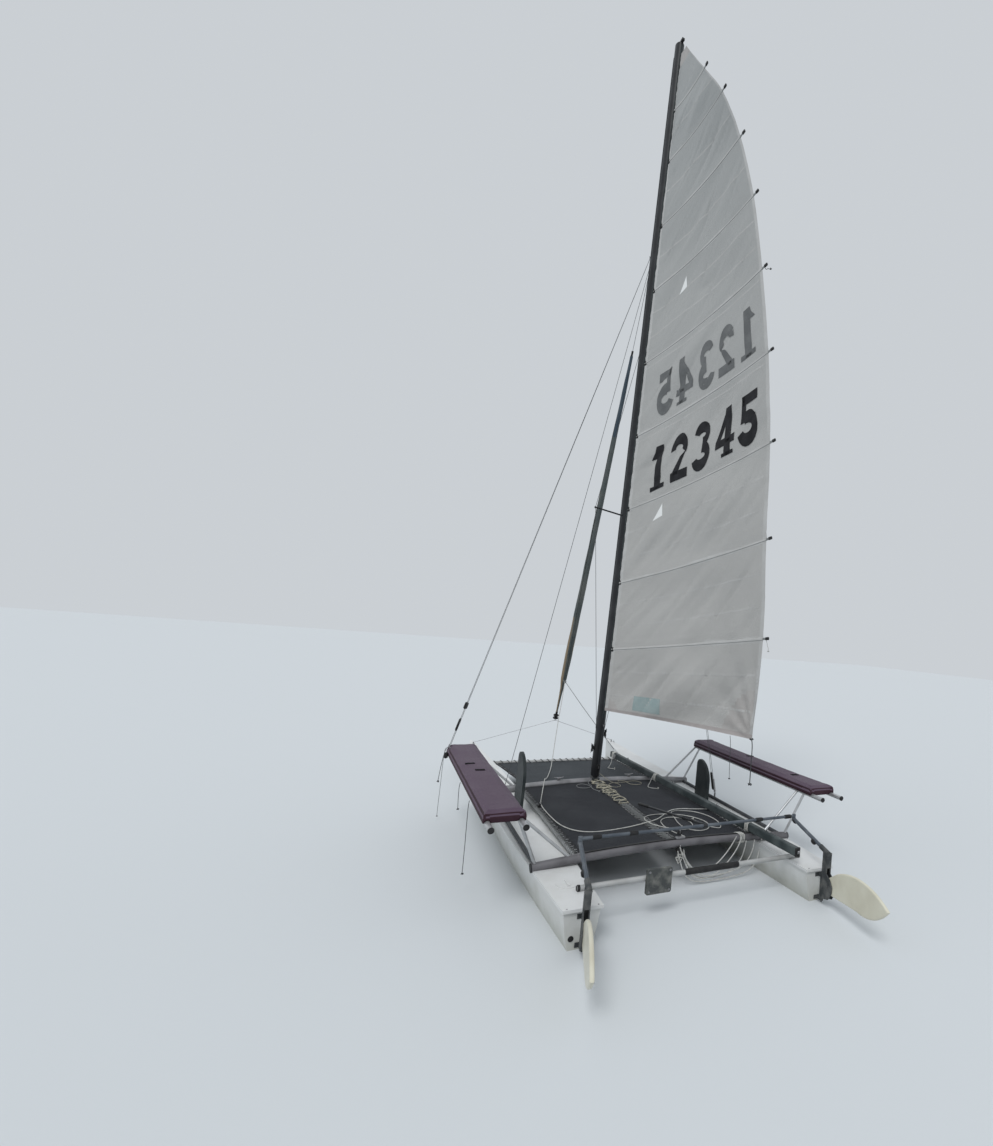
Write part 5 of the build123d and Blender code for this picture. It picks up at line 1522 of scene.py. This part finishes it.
def lay_on_sail(name, polygons, side, u_range, v_range, material, lift, from_behind=False):
    """Cuts flat polygons (0 to 1 each way) along the sail's grid and lays them on one of its faces."""
    shape = bmesh.new()
    shape.from_mesh(flat_mesh(polygons))
    for axis, (ends, per) in enumerate(((u_range, SAIL_COLUMNS), (v_range, PANEL_ROWS))):
        count = round((ends[1] - ends[0]) * per)
        for k in range(1, count):
            centre, normal = [0.0, 0.0, 0.0], [0.0, 0.0, 0.0]
            centre[axis], normal[axis] = k / count, 1.0
            geometry = list(shape.verts) + list(shape.edges) + list(shape.faces)
            bmesh.ops.bisect_plane(shape, geom=geometry, plane_co=centre, plane_no=normal, dist=1e-6)
    for vert in shape.verts:
        a = 1 - vert.co.x if from_behind else vert.co.x
        vert.co = sail_point(span(u_range, a), span(v_range, vert.co.y), side * lift)
    bmesh.ops.recalc_face_normals(shape, faces=shape.faces)
    outward = (sail_point(0.5, 5, 0.1) - sail_point(0.5, 5, 0)) * side
    for face in shape.faces:
        if face.normal.dot(outward) < 0:
            face.normal_flip()
    mesh = bpy.data.meshes.new(name)
    shape.to_mesh(mesh)
    shape.free()
    mesh.materials.append(material)
    mesh.shade_smooth()
    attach(linked(name, mesh), "mainsail")


def flat_mesh(polygons):
    mesh = bpy.data.meshes.new("flat")
    points, faces = [], []
    for polygon in polygons:
        faces.append(list(range(len(points), len(points) + len(polygon))))
        points += [(x, y, 0) for x, y in polygon]
    mesh.from_pydata(points, [], faces)
    return mesh


def arc_band(cx, cy, rx, ry, wide, start, end, steps=14):
    """Quads of a curved stroke of even width, for drawing a digit."""

    def spot(angle, out):
        return cx + (rx + out) * math.cos(angle), cy + (ry + out) * math.sin(angle)

    half = wide / 2
    turns = [math.radians(start + (end - start) * q / steps) for q in range(steps + 1)]
    return [[spot(a, -half), spot(a, half), spot(b, half), spot(b, -half)] for a, b in zip(turns, turns[1:])]


def box_quad(x0, x1, y0, y1):
    return [(x0, y0), (x1, y0), (x1, y1), (x0, y1)]


DIGITS = {
    "1": [box_quad(0.34, 0.70, 0, 1), box_quad(0.14, 0.92, 0, 0.10),
          [(0.08, 0.74), (0.34, 0.74), (0.34, 1.0), (0.28, 0.88)]],
    "2": arc_band(0.48, 0.70, 0.30, 0.20, 0.25, 185, -30) + [
        [(0.55, 0.50), (0.86, 0.60), (0.44, 0.12), (0.08, 0.12)], box_quad(0.08, 0.94, 0, 0.20)],
    "3": arc_band(0.44, 0.735, 0.28, 0.17, 0.23, 165, -80) + arc_band(0.44, 0.28, 0.34, 0.19, 0.25, 85, -168),
    "4": [box_quad(0.48, 0.80, 0, 1), box_quad(0.02, 1.0, 0.22, 0.38), box_quad(0.36, 0.92, 0, 0.07),
          [(0.02, 0.38), (0.28, 0.38), (0.60, 0.80), (0.60, 1.0)]],
    "5": arc_band(0.43, 0.32, 0.34, 0.22, 0.26, 118, -164) + [
        box_quad(0.12, 0.34, 0.44, 1), box_quad(0.12, 0.90, 0.80, 1)],
}


def number_drawing(text):
    """The digits side by side, each in its share of the width."""
    step = 1 / len(text)
    return [[((i + 0.08 + 0.84 * x) * step, y) for x, y in polygon]
            for i, digit in enumerate(text) for polygon in DIGITS[digit]]


NUMBER_U, NUMBER_V = (12 / SAIL_COLUMNS, 91 / SAIL_COLUMNS), (3 / PANEL_ROWS, 18 / PANEL_ROWS)
# number_shown_through is painted shade: the starboard number seen through the cloth from the port side.
for name, side, row, material, lift, from_behind in (
        ("number_port", -1, 3, number_black, 0.0046, False),
        ("number_starboard", 1, 4, number_black, 0.0046, True),
        ("number_shown_through", -1, 4, number_ghost, 0.0042, True)):
    v_range = [row + v for v in NUMBER_V]
    lay_on_sail(name, number_drawing("12345"), side, NUMBER_U, v_range, material, lift, from_behind)
FACES = ((-1, "port"), (1, "starboard"))
for row, u0 in ((2.78, 0.20), (5.72, 0.27)):
    for side, word in FACES:
        lay_on_sail(f"tell_tale_{row:.0f}_{word}", [[(0, 0), (1, 0.12), (0.85, 1)]], side,
                    (u0, u0 + 0.075), (row - 0.07, row + 0.12), tell_white, 0.0032)
for side, word in FACES:
    lay_on_sail(f"window_{word}", [box_quad(0, 1, 0, 1)], side,
                (0.20, 0.40), (0.12, 0.36), clear_vinyl, 0.0028)

# Floor at the waterline, a pale sky and plain soft light

FLOOR_REACH = 60
floor_mesh = bpy.data.meshes.new("floor")
corners = box_quad(-FLOOR_REACH, FLOOR_REACH, -FLOOR_REACH, FLOOR_REACH)
floor_mesh.from_pydata([(x, y, WATERLINE) for x, y in corners], [], [[0, 1, 2, 3]])
floor = linked("floor", floor_mesh)
floor_paint = bpy.data.materials.new("floor_paint")
floor_paint.use_nodes = True
paint = floor_paint.node_tree.nodes["Principled BSDF"].inputs
paint["Base Color"].default_value = (0.60, 0.63, 0.65, 1)
paint["Roughness"].default_value = 0.9
floor_mesh.materials.append(floor_paint)

world = bpy.data.worlds.new("sky")
bpy.context.scene.world = world
world.use_nodes = True
sky = world.node_tree
background = sky.nodes["Background"]
rays = add_node(sky, "ShaderNodeLightPath")
seen = maths(sky, "MAXIMUM", rays.outputs["Is Camera Ray"], rays.outputs["Is Transmission Ray"])
colour = blend_colours(sky, seen, (0.84, 0.88, 0.92, 1), (0.74, 0.78, 0.82, 1))
sky.links.new(colour, background.inputs["Color"])
background.inputs["Strength"].default_value = 0.80
sun_data = bpy.data.lights.new("key", "SUN")
sun_data.energy = 1.3
sun_data.angle = math.radians(25)
sun = linked("key", sun_data)
sun.rotation_euler = Vector((-0.9, 0.75, 1.5)).to_track_quat("Z", "Y").to_euler()

bpy.context.scene.view_settings.view_transform = "Standard"
